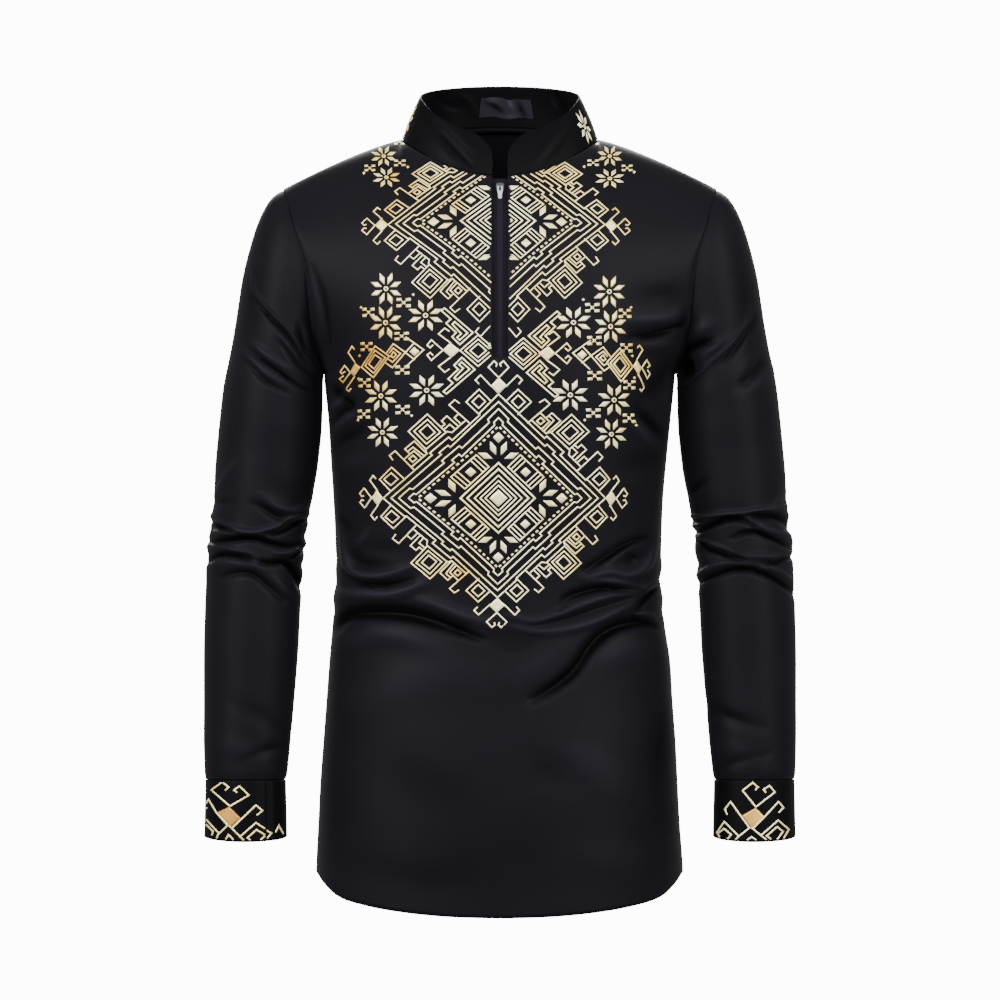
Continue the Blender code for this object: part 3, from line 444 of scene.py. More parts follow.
def body_point(u, s, face):
    """Point of a body panel: u from side to side (-1 to 1), s from the top edge (0) by the
    underarm (1) to the hem (2), face -1 in front and 1 behind. Rows are half ovals below the
    underarm and swing up to the neckline and the shoulder seams above it."""
    front = face < 0
    side = np.sign(u)
    a = np.abs(u)
    upper = np.clip(s, 0.0, 1.0)
    lower = np.clip(s - 1.0, 0.0, 1.0)
    v = (1 - a**2) * (1 - np.cos(PI * upper / 2)) + a**2 * (1 - np.cos(PI * upper)) / 2
    blend = 0.40 * np.clip(v / 0.25, 0, 1) * (1 - a**2)
    top = soft_top_edge(u, blend, front)
    top_x = np.abs(top[..., 0])
    top_y = top[..., 1]
    top_drop = top[..., 2]
    base = SLIT_DROP + (UNDERARM_DROP - SLIT_DROP) * a**2
    hem = along(HEM, 1, a)
    drop = top_drop + (base - top_drop) * v + (hem - base) * lower
    half = np.where(u < 0, along(BODY, 1, drop), along(BODY, 2, drop))
    base_x = half * np.sin(a * PI / 2)
    swing = v * (2 - v)
    x = top_x * (1 - swing) + base_x * swing
    edge_line = SHOULDER_HALF * (1 - swing) + half * swing
    x = x + (along(ARMHOLE, 1, drop) - edge_line) * a**6 * (upper < 1)
    depth = along(BODY, 3 if front else 4, drop)
    base_y = depth * np.maximum(np.cos(a * PI / 2), 0)**0.80
    near = np.clip(a / NECK_SHARE, 0, 1)
    crown = 1 - 0.5 * near**2 * (3 - 2 * near)
    rise = np.maximum(1 - (1 - v)**2, 0)**crown
    bow = ARMHOLE_FRONT if front else ARMHOLE_BACK
    arch = np.maximum(4 * v * (1 - v), 0)**(1.4 - 0.9 * a**8)
    y = top_y + (base_y - top_y) * rise + a**3 * bow * arch
    return np.stack((side * x, face * y, -drop), axis=-1)


def sleeve_point(index, turn, side):
    """Point of a sleeve: ring number down the arm, turn round it from its outer edge. The first
    ring is the armhole; the rings fan out round the underarm until they lie level."""
    share = (1 - np.cos(turn)) / 2
    outer_x, outer_drop = along(SLEEVE, 1, index), along(SLEEVE, 2, index)
    inner_x, inner_drop = along(SLEEVE, 3, index), along(SLEEVE, 4, index)
    x = outer_x + (inner_x - outer_x) * share
    drop = outer_drop + (inner_drop - outer_drop) * share
    hold = np.clip(1 - index / 5, 0, 1)**2
    straight = SHOULDER_HALF + (0.1760 - SHOULDER_HALF) * share
    seam_drop = SHOULDER_DROP + (UNDERARM_DROP - SHOULDER_DROP) * share
    x = x + (along(ARMHOLE, 1, seam_drop) - straight) * hold
    skew = 0.002 * np.clip(1 - index / 8, 0, 1)
    depth = along(SLEEVE, 5, index) + np.where(np.sin(turn) > 0, -skew, skew)
    y = -along(SLEEVE, 6, index) - depth * np.sin(turn)
    return np.stack((side * x, y, -drop), axis=-1)


def collar_point(turn, rise):
    """Point of the collar: turn round the neck (0 at the back, +-pi in front), rise 0 to 1."""
    front = np.cos(turn) < 0
    wide = np.abs(np.sin(turn))
    deep = np.abs(np.cos(turn))
    way = np.sign(np.sin(turn))
    base_y = np.where(front, -NECK_FRONT * deep, NECK_BACK * deep)
    base_drop = np.where(front, NECK_FRONT_DROP, NECK_BACK_DROP) * deep**2
    top_y = np.where(front, -COLLAR_TOP_FRONT * deep, COLLAR_TOP_BACK * deep)
    end_drop = np.where(front, COLLAR_TOP_FRONT_DROP, COLLAR_TOP_BACK_DROP)
    swing = np.where(front, deep**1.5, deep**0.9)
    top_drop = COLLAR_TOP_SIDE_DROP + (end_drop - COLLAR_TOP_SIDE_DROP) * swing
    belly = 0.0012 * np.sin(PI * rise)
    x = way * wide * (NECK_HALF + (COLLAR_TOP_HALF - NECK_HALF) * rise + belly)
    y = base_y + (top_y - base_y) * rise + belly * np.where(front, -deep, deep)
    drop = base_drop + (top_drop - base_drop) * rise
    return np.stack((x, y, -drop), axis=-1)


def collar_cloth(turn, rise, lift=0.0):
    """Point on the dressed collar: its soft folds stand out from the band."""
    point = collar_point(turn, rise)
    out = unit(np.stack((np.sin(turn), np.cos(turn), 0.3 + 0 * turn), axis=-1))
    x, drop = point[..., 0], -point[..., 2]
    height = np.where(np.cos(turn) < 0, fold_height(COLLAR_FRONT_FOLDS, x, drop),
                      fold_height(COLLAR_BACK_FOLDS, x, drop))
    height = height * np.clip(rise * 6, 0, 1) * (0.8 - 0.55 * np.clip(rise, 0, 1)**3)
    return point + out * np.broadcast_to(height + lift, x.shape)[..., None]


def cuff_point(turn, share, side, step=0.0):
    """Point of a cuff: turn round the wrist, share of its height, step in under the lap."""
    wide = WRIST_HALF - CUFF_INSET + CUFF_FLARE * share - step
    deep = WRIST_DEEP - CUFF_INSET + CUFF_FLARE * share - step
    x = WRIST_CENTRE + wide * np.cos(turn)
    y = -WRIST_FORWARD - 0.003 * share - deep * np.sin(turn)
    front = np.clip(np.sin(turn), 0, 1)
    drop = CUFF_TOP_DROP + SEAM + (CUFF_HEIGHT + CUFF_FRONT_DIP * front) * share
    return np.stack((side * x, y, -drop), axis=-1)


def surface_normals(shape, a, b, span_a, span_b, outward):
    """Unit normals of a surface from central differences of its two parameters."""
    e = 2e-3
    da = shape(np.clip(a + e, *span_a), b) - shape(np.clip(a - e, *span_a), b)
    db = shape(a, np.clip(b + e, *span_b)) - shape(a, np.clip(b - e, *span_b))
    normal = np.cross(da, db)
    normal /= np.maximum(np.linalg.norm(normal, axis=-1, keepdims=True), 1e-15)
    return normal * outward


def seam_dip(distance):
    """How far cloth is pulled in beside a seam at the given distance."""
    return -SEAM_DEEP * np.exp(-(distance / SEAM_REACH)**2)


def armhole_tuck(x, drop, side):
    """How far the cloth on both sides of the front armhole seam is pulled back, deepest a little
    above the underarm."""
    middle, half, deep = TUCKS[side]
    off = (np.abs(x) - along(ARMHOLE, 1, drop)) / 0.0085
    return deep * np.exp(-((drop - middle) / half)**2 - off**2)


def body_cloth(u, s, face, lift=0.0):
    """Point on the dressed body cloth: its shape, its folds, its seams pulled in, plus a lift."""
    point = body_point(u, s, face)
    normal = surface_normals(lambda a, b: body_point(a, b, face), u, s, (-1, 1), (0, 2), face)
    a = np.abs(u)
    x, drop = point[..., 0], -point[..., 2]
    flat = np.clip(1 - a**12, 0, 1) * np.clip((s - 0.2) * 3, 0, 1)
    facing = np.clip(normal[..., 1] * face, 0, 1)
    folds = FRONT_FOLDS if face < 0 else BACK_FOLDS
    height = fold_height(folds, x, drop) * flat * np.clip(facing * 2.5, 0, 1)
    for side, waves in ((-1, RIGHT_SIDE_WAVES), (1, LEFT_SIDE_WAVES)):
        for half, peak, y in waves:
            wave = peak * MM * np.exp(-((SHOULDER_Y + drop / MM - y) / half)**2)
            height = height + wave * a**10 * (u * side > 0)
    top_gap = np.where(a < NECK_SHARE, 0.25 * s**2 + 0.02 * s, 0.16 * s)
    low = np.clip((s - 1) * 8, 0, 1)
    height = height + seam_dip((1 - a) * 0.27) * (low + (1 - low) * np.clip(facing, 0.2, 1))
    height = height + seam_dip(top_gap)
    point = point + normal * (height + lift)[..., None]
    if face < 0:
        for side in (-1.0, 1.0):
            point[..., 1] += armhole_tuck(x, drop, side) * (u * side > 0)
    return point


def sleeve_folds(side):
    """Tables of a sleeve's folds in front and behind."""
    if side < 0:
        return RIGHT_FRONT_FOLDS, RIGHT_BACK_FOLDS
    return LEFT_FRONT_FOLDS, LEFT_BACK_FOLDS


def sleeve_cloth(index, turn, side):
    """Point on the dressed sleeve cloth."""
    point = sleeve_point(index, turn, side)
    normal = surface_normals(lambda a, b: sleeve_point(a, b, side), index, turn,
                             (0, LAST_RING), (-9, 9), -side)
    calm = np.clip(index / 3, 0, 1) * np.clip((LAST_RING - index) / 1.0, 0, 1)
    front = np.clip(0.5 - 0.9 * normal[..., 1], 0, 1)
    x, drop = point[..., 0], -point[..., 2]
    fold_front, fold_back = sleeve_folds(side)
    height = fold_height(fold_front, x, drop) * front
    height = (height + fold_height(fold_back, x, drop) * (1 - front)) * calm
    height = height + seam_dip(index * 0.020) + seam_dip((LAST_RING - index) * 0.038)
    point = point + normal * height[..., None]
    point[..., 1] += armhole_tuck(x, drop, side) * (np.sin(turn) > 0)
    return point


# ------------------------------------------------------------------ making meshes
def mesh_piece(name, points, faces, material, body="shirt", smooth=True):
    """A mesh object from arrays of points and of faces, riding on a body."""
    mesh = bpy.data.meshes.new(name)
    mesh.from_pydata(points.reshape(-1, 3).tolist(), [], faces.tolist())
    mesh.update()
    if smooth:
        mesh.shade_smooth()
        mesh.set_sharp_from_angle(angle=math.radians(52))
    piece = bpy.data.objects.new(name, mesh)
    bpy.context.scene.collection.objects.link(piece)
    mesh.materials.append(material)
    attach(piece, body)
    return piece


def grid_faces(rows, columns, closed=False):
    """Quads of a grid of points in row order; closed joins the last column to the first."""
    r, c = np.meshgrid(np.arange(rows - 1), np.arange(columns if closed else columns - 1),
                       indexing="ij")
    n = (c + 1) % columns
    quads = np.stack((r * columns + c, r * columns + n, (r + 1) * columns + n,
                      (r + 1) * columns + c), axis=-1)
    return quads.reshape(-1, 4)


def outward_faces(points, faces, outwards):
    """The faces, turned round if the first one near the middle looks against `outwards`."""
    flat = points.reshape(-1, 3)
    corner = flat[faces[len(faces) // 2]]
    normal = np.cross(corner[1] - corner[0], corner[3] - corner[0])
    return faces if normal @ np.array(outwards, dtype=float) > 0 else faces[:, ::-1]


def face_centre(grid, faces):
    """Middle of the face that outward_faces looks at."""
    return grid.reshape(-1, 3)[faces[len(faces) // 2]].mean(axis=0)


def unit(vectors):
    """Vectors of length one."""
    return vectors / np.maximum(np.linalg.norm(vectors, axis=-1, keepdims=True), 1e-12)


def allowance(grid, deep, reach, centre, closed=False):
    """Seam allowance before a grid's first row: two more rows, one straight in from the edge and
    one further on, inside the neighbouring band. In is towards the given centre."""
    out = unit(grid[0] - grid[2])
    if closed:
        run = unit(np.roll(grid[0], -1, axis=0) - np.roll(grid[0], 1, axis=0))
    else:
        run = unit(np.gradient(grid[0], axis=0))
    inward = unit(np.cross(out, run))
    inward *= np.sign(np.sum(inward * (np.array(centre) - grid[0]), axis=-1, keepdims=True))
    first = grid[0] + out * 0.0001 + inward * deep * 0.4
    second = grid[0] + out * reach + inward * (deep + 0.0003)
    return np.concatenate((second[None], first[None], grid))


def under_panel(u, s, face, along_u, along_s):
    """Two rows of seam allowance under a body panel's edge: just inside the edge, and 5 mm on."""
    rows = [body_cloth(u - along_u * far, s + along_s * far, face, low)
            for far, low in ((0.032, -1.5 * MM), (0.003, -1.2 * MM))]
    return np.stack(rows)


def trim(points, faces):
    """Drop the points that no face uses."""
    used = np.unique(faces)
    again = np.zeros(points.reshape(-1, 3).shape[0], dtype=int)
    again[used] = np.arange(len(used))
    return points.reshape(-1, 3)[used], again[faces]


def store_painted_shading_height(piece, value):
    """Store a height at each point of a piece, in millimetres, that the cloth's material turns into
    painted shade where it is low and a painted highlight where it is high.
    """
    attribute = piece.data.attributes.new("painted_fold_shade_and_highlight", "FLOAT", "POINT")
    attribute.data.foreach_set("value", value.ravel())


def store_painted_fold_shading(piece, front_folds, back_folds=None, gain=1.0):
    """Store at each point how high its folds stand there, in millimetres, for the cloth's colour:
    painted shade in the fold troughs and a painted highlight on the ridges.
    """
    mesh = piece.data
    points = np.empty(len(mesh.vertices) * 3)
    normals = np.empty(len(mesh.vertices) * 3)
    mesh.vertices.foreach_get("co", points)
    mesh.vertices.foreach_get("normal", normals)
    x, _, z = points.reshape(-1, 3).T
    value = fold_height(front_folds, x, -z) / MM
    if back_folds:
        front = np.clip(0.5 - 0.9 * normals.reshape(-1, 3)[:, 1], 0, 1)
        value = value * front + fold_height(back_folds, x, -z) / MM * (1 - front)
    store_painted_shading_height(piece, value * gain)


def give_wall(piece, thickness):
    """Solidify the cloth inwards from its outer surface."""
    wall = piece.modifiers.new("cloth wall", "SOLIDIFY")
    wall.thickness = thickness
    wall.offset = -1.0
    wall.use_rim = True
    wall.use_quality_normals = True


# ------------------------------------------------------------------ materials
THREAD = 0.9 * MM            # satin threads are finer; drawn as coarse as they need to show


def linear(code):
    """An sRGB hex colour such as #1A2B3C as linear RGBA."""
    parts = [int(code[i:i + 2], 16) / 255 for i in (1, 3, 5)]
    parts = [p / 12.92 if p <= 0.04045 else ((p + 0.055) / 1.055)**2.4 for p in parts]
    return (*parts, 1.0)


def add_node(tree, kind, settings=None, **links):
    """Add a node; settings are its attributes or, as input names, its values; links feed inputs."""
    node = tree.nodes.new(kind)
    for key, value in (settings or {}).items():
        if key in node.inputs:
            node.inputs[key].default_value = value
        else:
            setattr(node, key, value)
    for key, source in links.items():
        tree.links.new(source, node.inputs[key.replace("_", " ")])
    return node


def new_material(name, **values):
    """A material with its Principled shader; values are set on the shader's own sockets."""
    material = bpy.data.materials.new(name)
    material.use_nodes = True
    shader = material.node_tree.nodes["Principled BSDF"]
    for key, value in values.items():
        shader.inputs[key.replace("_", " ")].default_value = value
    return material, material.node_tree, shader


def add_grain(tree, shader, place, scale, detail, strength, distance):
    """A fine bump over the whole finish, from noise on the object's own coordinates."""
    noise = add_node(tree, "ShaderNodeTexNoise", {"Scale": scale, "Detail": detail},
                     Vector=place.outputs["Object"])
    bump = add_node(tree, "ShaderNodeBump", {"Strength": strength, "Distance": distance},
                    Height=noise.outputs["Fac"])
    tree.links.new(bump.outputs["Normal"], shader.inputs["Normal"])


def satin(name, dark, light, roughness):
    """Polyester satin weave: long floats give a soft sheen, its threads a faint fine grain. Its
    base colour is also darkened in fold troughs as painted shade and brightened on fold ridges as a
    painted highlight, by the fold height stored at each point.
    """
    material, tree, shader = new_material(
        name, Roughness=roughness, Specular_IOR_Level=0.037, IOR=1.5,
        Sheen_Weight=0.016, Sheen_Roughness=0.5)
    place = add_node(tree, "ShaderNodeTexCoord")
    cloud = add_node(tree, "ShaderNodeTexNoise", {"Scale": 14.0, "Detail": 3.0},
                     Vector=place.outputs["Object"])
    tone = add_node(tree, "ShaderNodeMix", {"data_type": "RGBA"}, Factor=cloud.outputs["Fac"])
    tone.inputs[6].default_value = linear(dark)
    tone.inputs[7].default_value = linear(light)
    # painted shade and highlight: the stored fold height scales the base colour
    painted_fold_shade_and_highlight = add_node(tree, "ShaderNodeAttribute", {"attribute_name": "painted_fold_shade_and_highlight"})
    # painted shade: down to a tenth of the colour in the deepest fold troughs
    down = add_node(tree, "ShaderNodeMapRange", {
        "From Min": -4.5, "From Max": -0.3, "To Min": 0.10, "To Max": 1.0},
        Value=painted_fold_shade_and_highlight.outputs["Fac"])
    # painted highlight: up to 2.1 times the colour on the highest fold ridges
    up = add_node(tree, "ShaderNodeMapRange", {
        "From Min": 0.3, "From Max": 4.0, "To Min": 1.0, "To Max": 2.1},
        Value=painted_fold_shade_and_highlight.outputs["Fac"])
    level = add_node(tree, "ShaderNodeMath", {"operation": "MULTIPLY"})
    tree.links.new(down.outputs["Result"], level.inputs[0])
    tree.links.new(up.outputs["Result"], level.inputs[1])
    shaded = add_node(tree, "ShaderNodeVectorMath", {"operation": "SCALE"},
                      Vector=tone.outputs[2], Scale=level.outputs[0])
    tree.links.new(shaded.outputs[0], shader.inputs["Base Color"])
    add_grain(tree, shader, place, 1 / THREAD, 1.5, 0.25, 0.05 * MM)
    return material


BODY_SATIN = satin("body_satin_woven_polyester", "#0D0C10", "#111015", 0.50)
BAND_SATIN = satin("band_satin_two_layers", "#040405", "#060608", 0.50)


def gold_foil(name, flank_painted_shade, start):
    """Hot-stamped gold foil: a metal film that takes the satin's grain. Its colour runs from amber
    to pale in patches where the film took unevenly, and grows deeper by its second argument per
    metre away from the middle of the shirt, as painted shade towards the shirt's sides."""
    material, tree, shader = new_material(name, Metallic=0.30, Roughness=0.36)
    place = add_node(tree, "ShaderNodeTexCoord")
    parts = add_node(tree, "ShaderNodeSeparateXYZ", Vector=place.outputs["Object"])
    away = add_node(tree, "ShaderNodeMath", {"operation": "ABSOLUTE"})
    tree.links.new(parts.outputs["X"], away.inputs[0])
    side = add_node(tree, "ShaderNodeMath", {"operation": "MULTIPLY_ADD"})
    tree.links.new(away.outputs[0], side.inputs[0])
    side.inputs[1].default_value = flank_painted_shade
    side.inputs[2].default_value = start
    cloud = add_node(tree, "ShaderNodeTexNoise", {"Scale": 17.0, "Detail": 3.0},
                     Vector=place.outputs["Object"])
    mixed = add_node(tree, "ShaderNodeMath", {"operation": "ADD"})
    tree.links.new(cloud.outputs["Fac"], mixed.inputs[0])
    tree.links.new(side.outputs[0], mixed.inputs[1])
    ramp = add_node(tree, "ShaderNodeValToRGB")
    tree.links.new(mixed.outputs[0], ramp.inputs["Fac"])
    stops = ramp.color_ramp.elements
    for at, code in ((0.10, "#8E5C06"), (0.28, "#C08A34"), (0.46, "#E6BE60"), (0.62, "#FBE79A"),
                     (0.82, "#FFF6C4")):
        stop = stops.new(at)
        stop.color = linear(code)
    stops.remove(stops[0])
    stops.remove(stops[-1])
    tree.links.new(ramp.outputs["Color"], shader.inputs["Base Color"])
    add_grain(tree, shader, place, 1400.0, 1.0, 0.3, 0.05 * MM)
    return material


# painted shade: the main print's colour grows deeper towards the sides of the shirt, paler in its
# middle
GOLD_FOIL = gold_foil("hot_stamped_gold_foil", -1.9, 0.32)
CUFF_FOIL = gold_foil("hot_stamped_gold_foil_pale", 0.0, 0.13)
DEEP_FOIL = gold_foil("hot_stamped_gold_foil_deep", 0.0, -0.33)


def plain_finish(name, colour, roughness, metallic=0.0, grain=0.0, shine=0.5):
    """A finish of one colour with a fine bump: a ribbed tape, nylon or polished metal."""
    material, tree, shader = new_material(
        name, Base_Color=linear(colour), Roughness=roughness, Metallic=metallic,
        Specular_IOR_Level=shine)
    place = add_node(tree, "ShaderNodeTexCoord")
    add_grain(tree, shader, place, 900.0, 2.0, grain, 0.08 * MM)
    return material


TAPE = satin("zip_tape_woven_herringbone", "#0F0C12", "#130F17", 0.80)
COIL = plain_finish("zip_coil_nylon", "#1A161F", 0.45, shine=0.25)
LABEL = satin("label_satin_ribbon", "#141418", "#1F1F24", 0.40)
NICKEL = plain_finish("zip_nickel_plated", "#F4F5F8", 0.36, metallic=1.0, grain=0.05)
# painted shade: the slider's nickel is set darker than the pull's so the hole in the pull looks
# dark
SLIDER_PAINTED_DARK = plain_finish("zip_slider_nickel_painted_dark", "#6A6B70", 0.34, metallic=1.0, grain=0.05)

# ------------------------------------------------------------------ cloth shells
FRONT_COLUMNS = 150
BACK_COLUMNS = 144
UPPER_ROWS = 86
LOWER_ROWS = 230
ALLOWANCE = 0.005

slit_u = 2 / PI * math.asin(SLIT_HALF / SLIT_BODY_HALF)
sides = np.linspace(slit_u, 1.0, FRONT_COLUMNS // 2 + 1)
front_u = np.concatenate((-sides[::-1], sides))


def packed(low, high, count, busy, crowd=3.0):
    """Numbers from low to high, set closer together inside the busy stretches."""
    fine = np.linspace(low, high, 2000)
    weight = np.ones_like(fine)
    for middle, half in busy:
        weight += (crowd - 1) / (1 + np.abs((fine - middle) / half)**6)
    total = np.concatenate(([0], np.cumsum((weight[1:] + weight[:-1]) / 2)))
    return np.interp(np.linspace(0, total[-1], count), total, fine)


rows_s = np.concatenate((np.linspace(0, 1, UPPER_ROWS + 1),
                         packed(1, 2, LOWER_ROWS + 1, ((1.42, 0.20),))[1:]))


def inset_edges(grid):
    """Set a panel's outermost points back from its seams, as the solids are."""
    for edge, inner in ((0, 1), (-1, -2)):
        away = grid[:, inner] - grid[:, edge]
        length = np.linalg.norm(away, axis=1, keepdims=True)
        grid[:, edge] += away / length * SET_BACK
    away = grid[1] - grid[0]
    length = np.maximum(np.linalg.norm(away, axis=1, keepdims=True), 1e-9)
    grid[0] += away / length * np.minimum(SET_BACK, 0.4 * length)
    return grid


def build_front():
    """The front: one sheet of cloth, open down the middle above the end of the zip."""
    u, s = np.meshgrid(front_u, rows_s)
    grid = inset_edges(body_cloth(u, s, -1.0))
    middle = FRONT_COLUMNS // 2
    grid[:UPPER_ROWS + 1, middle, 0] = -SLIT_HALF
    grid[:UPPER_ROWS + 1, middle + 1, 0] = SLIT_HALF
    grid = np.concatenate((under_panel(front_u, np.zeros_like(front_u), 1.0, 0, 1), grid))
    edge_s = np.concatenate(([0, 0], rows_s))
    left, right = (under_panel(np.full_like(edge_s, way), edge_s, 1.0, way, 0)
                   for way in (-1.0, 1.0))
    grid = np.concatenate((left.transpose(1, 0, 2), grid, right[::-1].transpose(1, 0, 2)), axis=1)
    rows, columns = grid.shape[:2]
    row, column = np.meshgrid(np.arange(rows - 1), np.arange(columns - 1), indexing="ij")
    neck = np.abs(np.concatenate(([-1, -1], front_u[:-1], [1, 1]))) < NECK_SHARE + 0.01
    gone = (column == middle + 2) & (row < UPPER_ROWS + 2)
    gone |= (row < 2) & neck[column]
    gone |= ((column < 2) | (column >= columns - 3)) & (row < UPPER_ROWS + 4)
    faces = grid_faces(rows, columns)[~gone.ravel()]
    faces = outward_faces(grid, faces, (0, -1, 0))
    piece = mesh_piece("front_cloth", *trim(grid, faces), BODY_SATIN)
    give_wall(piece, CLOTH_SHOWN)
    # fold heights for painted shade in the troughs and a painted highlight on the ridges
    store_painted_fold_shading(piece, FRONT_FOLDS)
    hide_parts("front_body")
    return piece


def build_back():
    """The back: one sheet of cloth."""
    u, s = np.meshgrid(np.linspace(-1, 1, BACK_COLUMNS + 1), rows_s)
    grid = inset_edges(body_cloth(u, s, 1.0))
    faces = outward_faces(grid, grid_faces(*grid.shape[:2]), (0, 1, 0))
    piece = mesh_piece("back_cloth", grid, faces, BODY_SATIN)
    give_wall(piece, CLOTH_SHOWN)
    # fold heights for painted shade in the troughs and a painted highlight on the ridges
    store_painted_fold_shading(piece, BACK_FOLDS)
    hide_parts("back_body")
    return piece


def sleeve_rows(count):
    """Ring numbers down the sleeve's outer edge, closest together at the bunched elbow."""
    fine = np.linspace(0, LAST_RING, 1600)
    x, drop = along(SLEEVE, 1, fine), along(SLEEVE, 2, fine)
    run = np.concatenate(([0], np.cumsum(np.hypot(np.diff(x), np.diff(drop)))))
    elbow = np.interp(0.400, drop, run)
    return np.interp(packed(0, run[-1], count, ((elbow, 0.062),), 2.6), run, fine)


def build_sleeve(side, name, node):
    """A sleeve: a tube of cloth from the armhole to the cuff."""
    turn, index = np.meshgrid(np.linspace(0, 2 * PI, 116, endpoint=False), sleeve_rows(400))
    grid = sleeve_cloth(index, turn, side)
    away = grid[1] - grid[0]
    grid[0] += away / np.linalg.norm(away, axis=1, keepdims=True) * SET_BACK
    round_s = np.where(turn[0] < PI, turn[0], 2 * PI - turn[0]) / PI
    fronts, backs = (under_panel(np.full_like(round_s, side), round_s, face, side, 0)
                     for face in (-1.0, 1.0))
    grid = np.concatenate((np.where(turn[0][None, :, None] < PI, fronts, backs), grid))
    grid = allowance(grid[::-1], 0.0022, ALLOWANCE, grid[-1].mean(axis=0), closed=True)[::-1]
    faces = grid_faces(*grid.shape[:2], closed=True)
    level = grid[len(grid) // 2].mean(axis=0)
    faces = outward_faces(grid, faces, face_centre(grid, faces) - level)
    piece = mesh_piece(name, grid, faces, BODY_SATIN)
    give_wall(piece, CLOTH_SHOWN)
    # fold heights for painted shade in the troughs and a painted highlight on the ridges
    store_painted_fold_shading(piece, *sleeve_folds(side))
    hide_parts(node)
    return piece


def lap_step(past):
    """How far a cuff is stepped in, by how far round it a point is past the cuff's first end."""
    under = np.clip((1.45 * CUFF_TURN - past) / (0.45 * CUFF_TURN), 0, 1)
    return CUFF_LAP_STEP * under * under * (3 - 2 * under)


def build_cuff(side, start, name, node):
    """A cuff: a band round the wrist whose second end lies over its first."""
    past = np.linspace(0, 2 * PI + CUFF_TURN, 181)
    turns, shares = np.meshgrid(start + past, np.linspace(0, 1, 25))
    grid = cuff_point(turns, shares, side, lap_step(past)[None, :])
    faces = grid_faces(*grid.shape[:2])
    centre = face_centre(grid, faces)
    axis = np.array((side * WRIST_CENTRE, -WRIST_FORWARD, centre[2]))
    faces = outward_faces(grid, faces, centre - axis)
    piece = mesh_piece(name, grid, faces, BAND_SATIN)
    give_wall(piece, BAND)
    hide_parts(node)
    return piece


def build_collar():
    """The collar: a band round the neck, open in front, its two front corners rounded."""
    end = PI - math.asin((SLIT_HALF + 0.0004) / NECK_HALF)
    even = np.linspace(-1, 1, 241)
    turn = np.sign(even) * (1 - (1 - np.abs(even))**1.25) * end
    girth = np.abs(np.abs(turn) - end) * 0.085
    cut = np.clip(COLLAR_CORNER - girth, 0, COLLAR_CORNER)
    top = 1 - (COLLAR_CORNER - np.sqrt(COLLAR_CORNER**2 - cut**2)) / COLLAR_HEIGHT
    low = SEAM * 2.2 / COLLAR_HEIGHT
    share = np.linspace(0, 1, 29)[:, None]
    rise = low + (top[None, :] - low) * share
    turns = np.repeat(turn[None, :], len(share), axis=0)
    grid = allowance(collar_cloth(turns, rise), 0.0024, 0.004, (0, 0, -0.03))
    faces = grid_faces(*grid.shape[:2])
    faces = outward_faces(grid, faces, face_centre(grid, faces) * (1, 1, 0))
    piece = mesh_piece("collar_cloth", grid, faces, BAND_SATIN)
    give_wall(piece, BAND)
    # fold heights, 1.4 times over, for painted shade in the troughs and a painted highlight on the
    # ridges
    store_painted_fold_shading(piece, COLLAR_FRONT_FOLDS, COLLAR_BACK_FOLDS, 1.4)
    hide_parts("collar")
    return piece


def build_label():
    """The neck label: a strip of satin ribbon inside the collar's back, wrinkled, its edges
    uneven. It is left blank."""
    across, up = np.meshgrid(np.linspace(LABEL_FROM, LABEL_TO, 90), np.linspace(0, 1, 34))
    share = (across - LABEL_FROM) / (LABEL_TO - LABEL_FROM)
    low = LABEL_LOW + 0.035 * np.sin(PI * share) * np.sin(9 * share) - 0.02 * share
    high = LABEL_HIGH - 0.05 * np.exp(-((share - 0.57) / 0.12)**2) + 0.02 * np.sin(5 * share)
    turn, rise = np.arcsin(across / 0.092), low + (high - low) * up
    point = collar_cloth(turn, rise)
    out = unit(np.stack((np.sin(turn), np.cos(turn), 0.3 + 0 * turn), axis=-1))
    wrinkle = fold_height(LABEL_FOLDS, point[..., 0], -point[..., 2])
    grid = point - out * (BAND + 0.9 * MM - wrinkle)[..., None]
    faces = outward_faces(grid, grid_faces(*grid.shape[:2]), (0, -1, 0))
    piece = mesh_piece("neck_label_ribbon", grid, faces, LABEL)
    give_wall(piece, 0.3 * MM)
    # wrinkle heights, five times over: painted shade in the label's troughs, a painted highlight on
    # its ridges
    store_painted_fold_shading(piece, LABEL_FOLDS, gain=5.0)
    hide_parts("neck_label")
    return piece


def tape_point(x, drop, lift=0.0):
    """Point of the zip tape behind the front's open edges, straight across between them."""
    u = np.sign(x) * np.maximum(2 / PI * np.arcsin(np.abs(x) / SLIT_BODY_HALF), slit_u)
    steps = np.linspace(0.0, 1.1, 441)
    edge = body_cloth(np.full_like(steps, slit_u), steps, -1.0)
    s = np.interp(drop, -edge[:, 2], steps)
    cloth = body_cloth(u, s, -1.0)
    return np.stack((x, cloth[..., 1] + TAPE_BEHIND - lift, -drop), axis=-1)


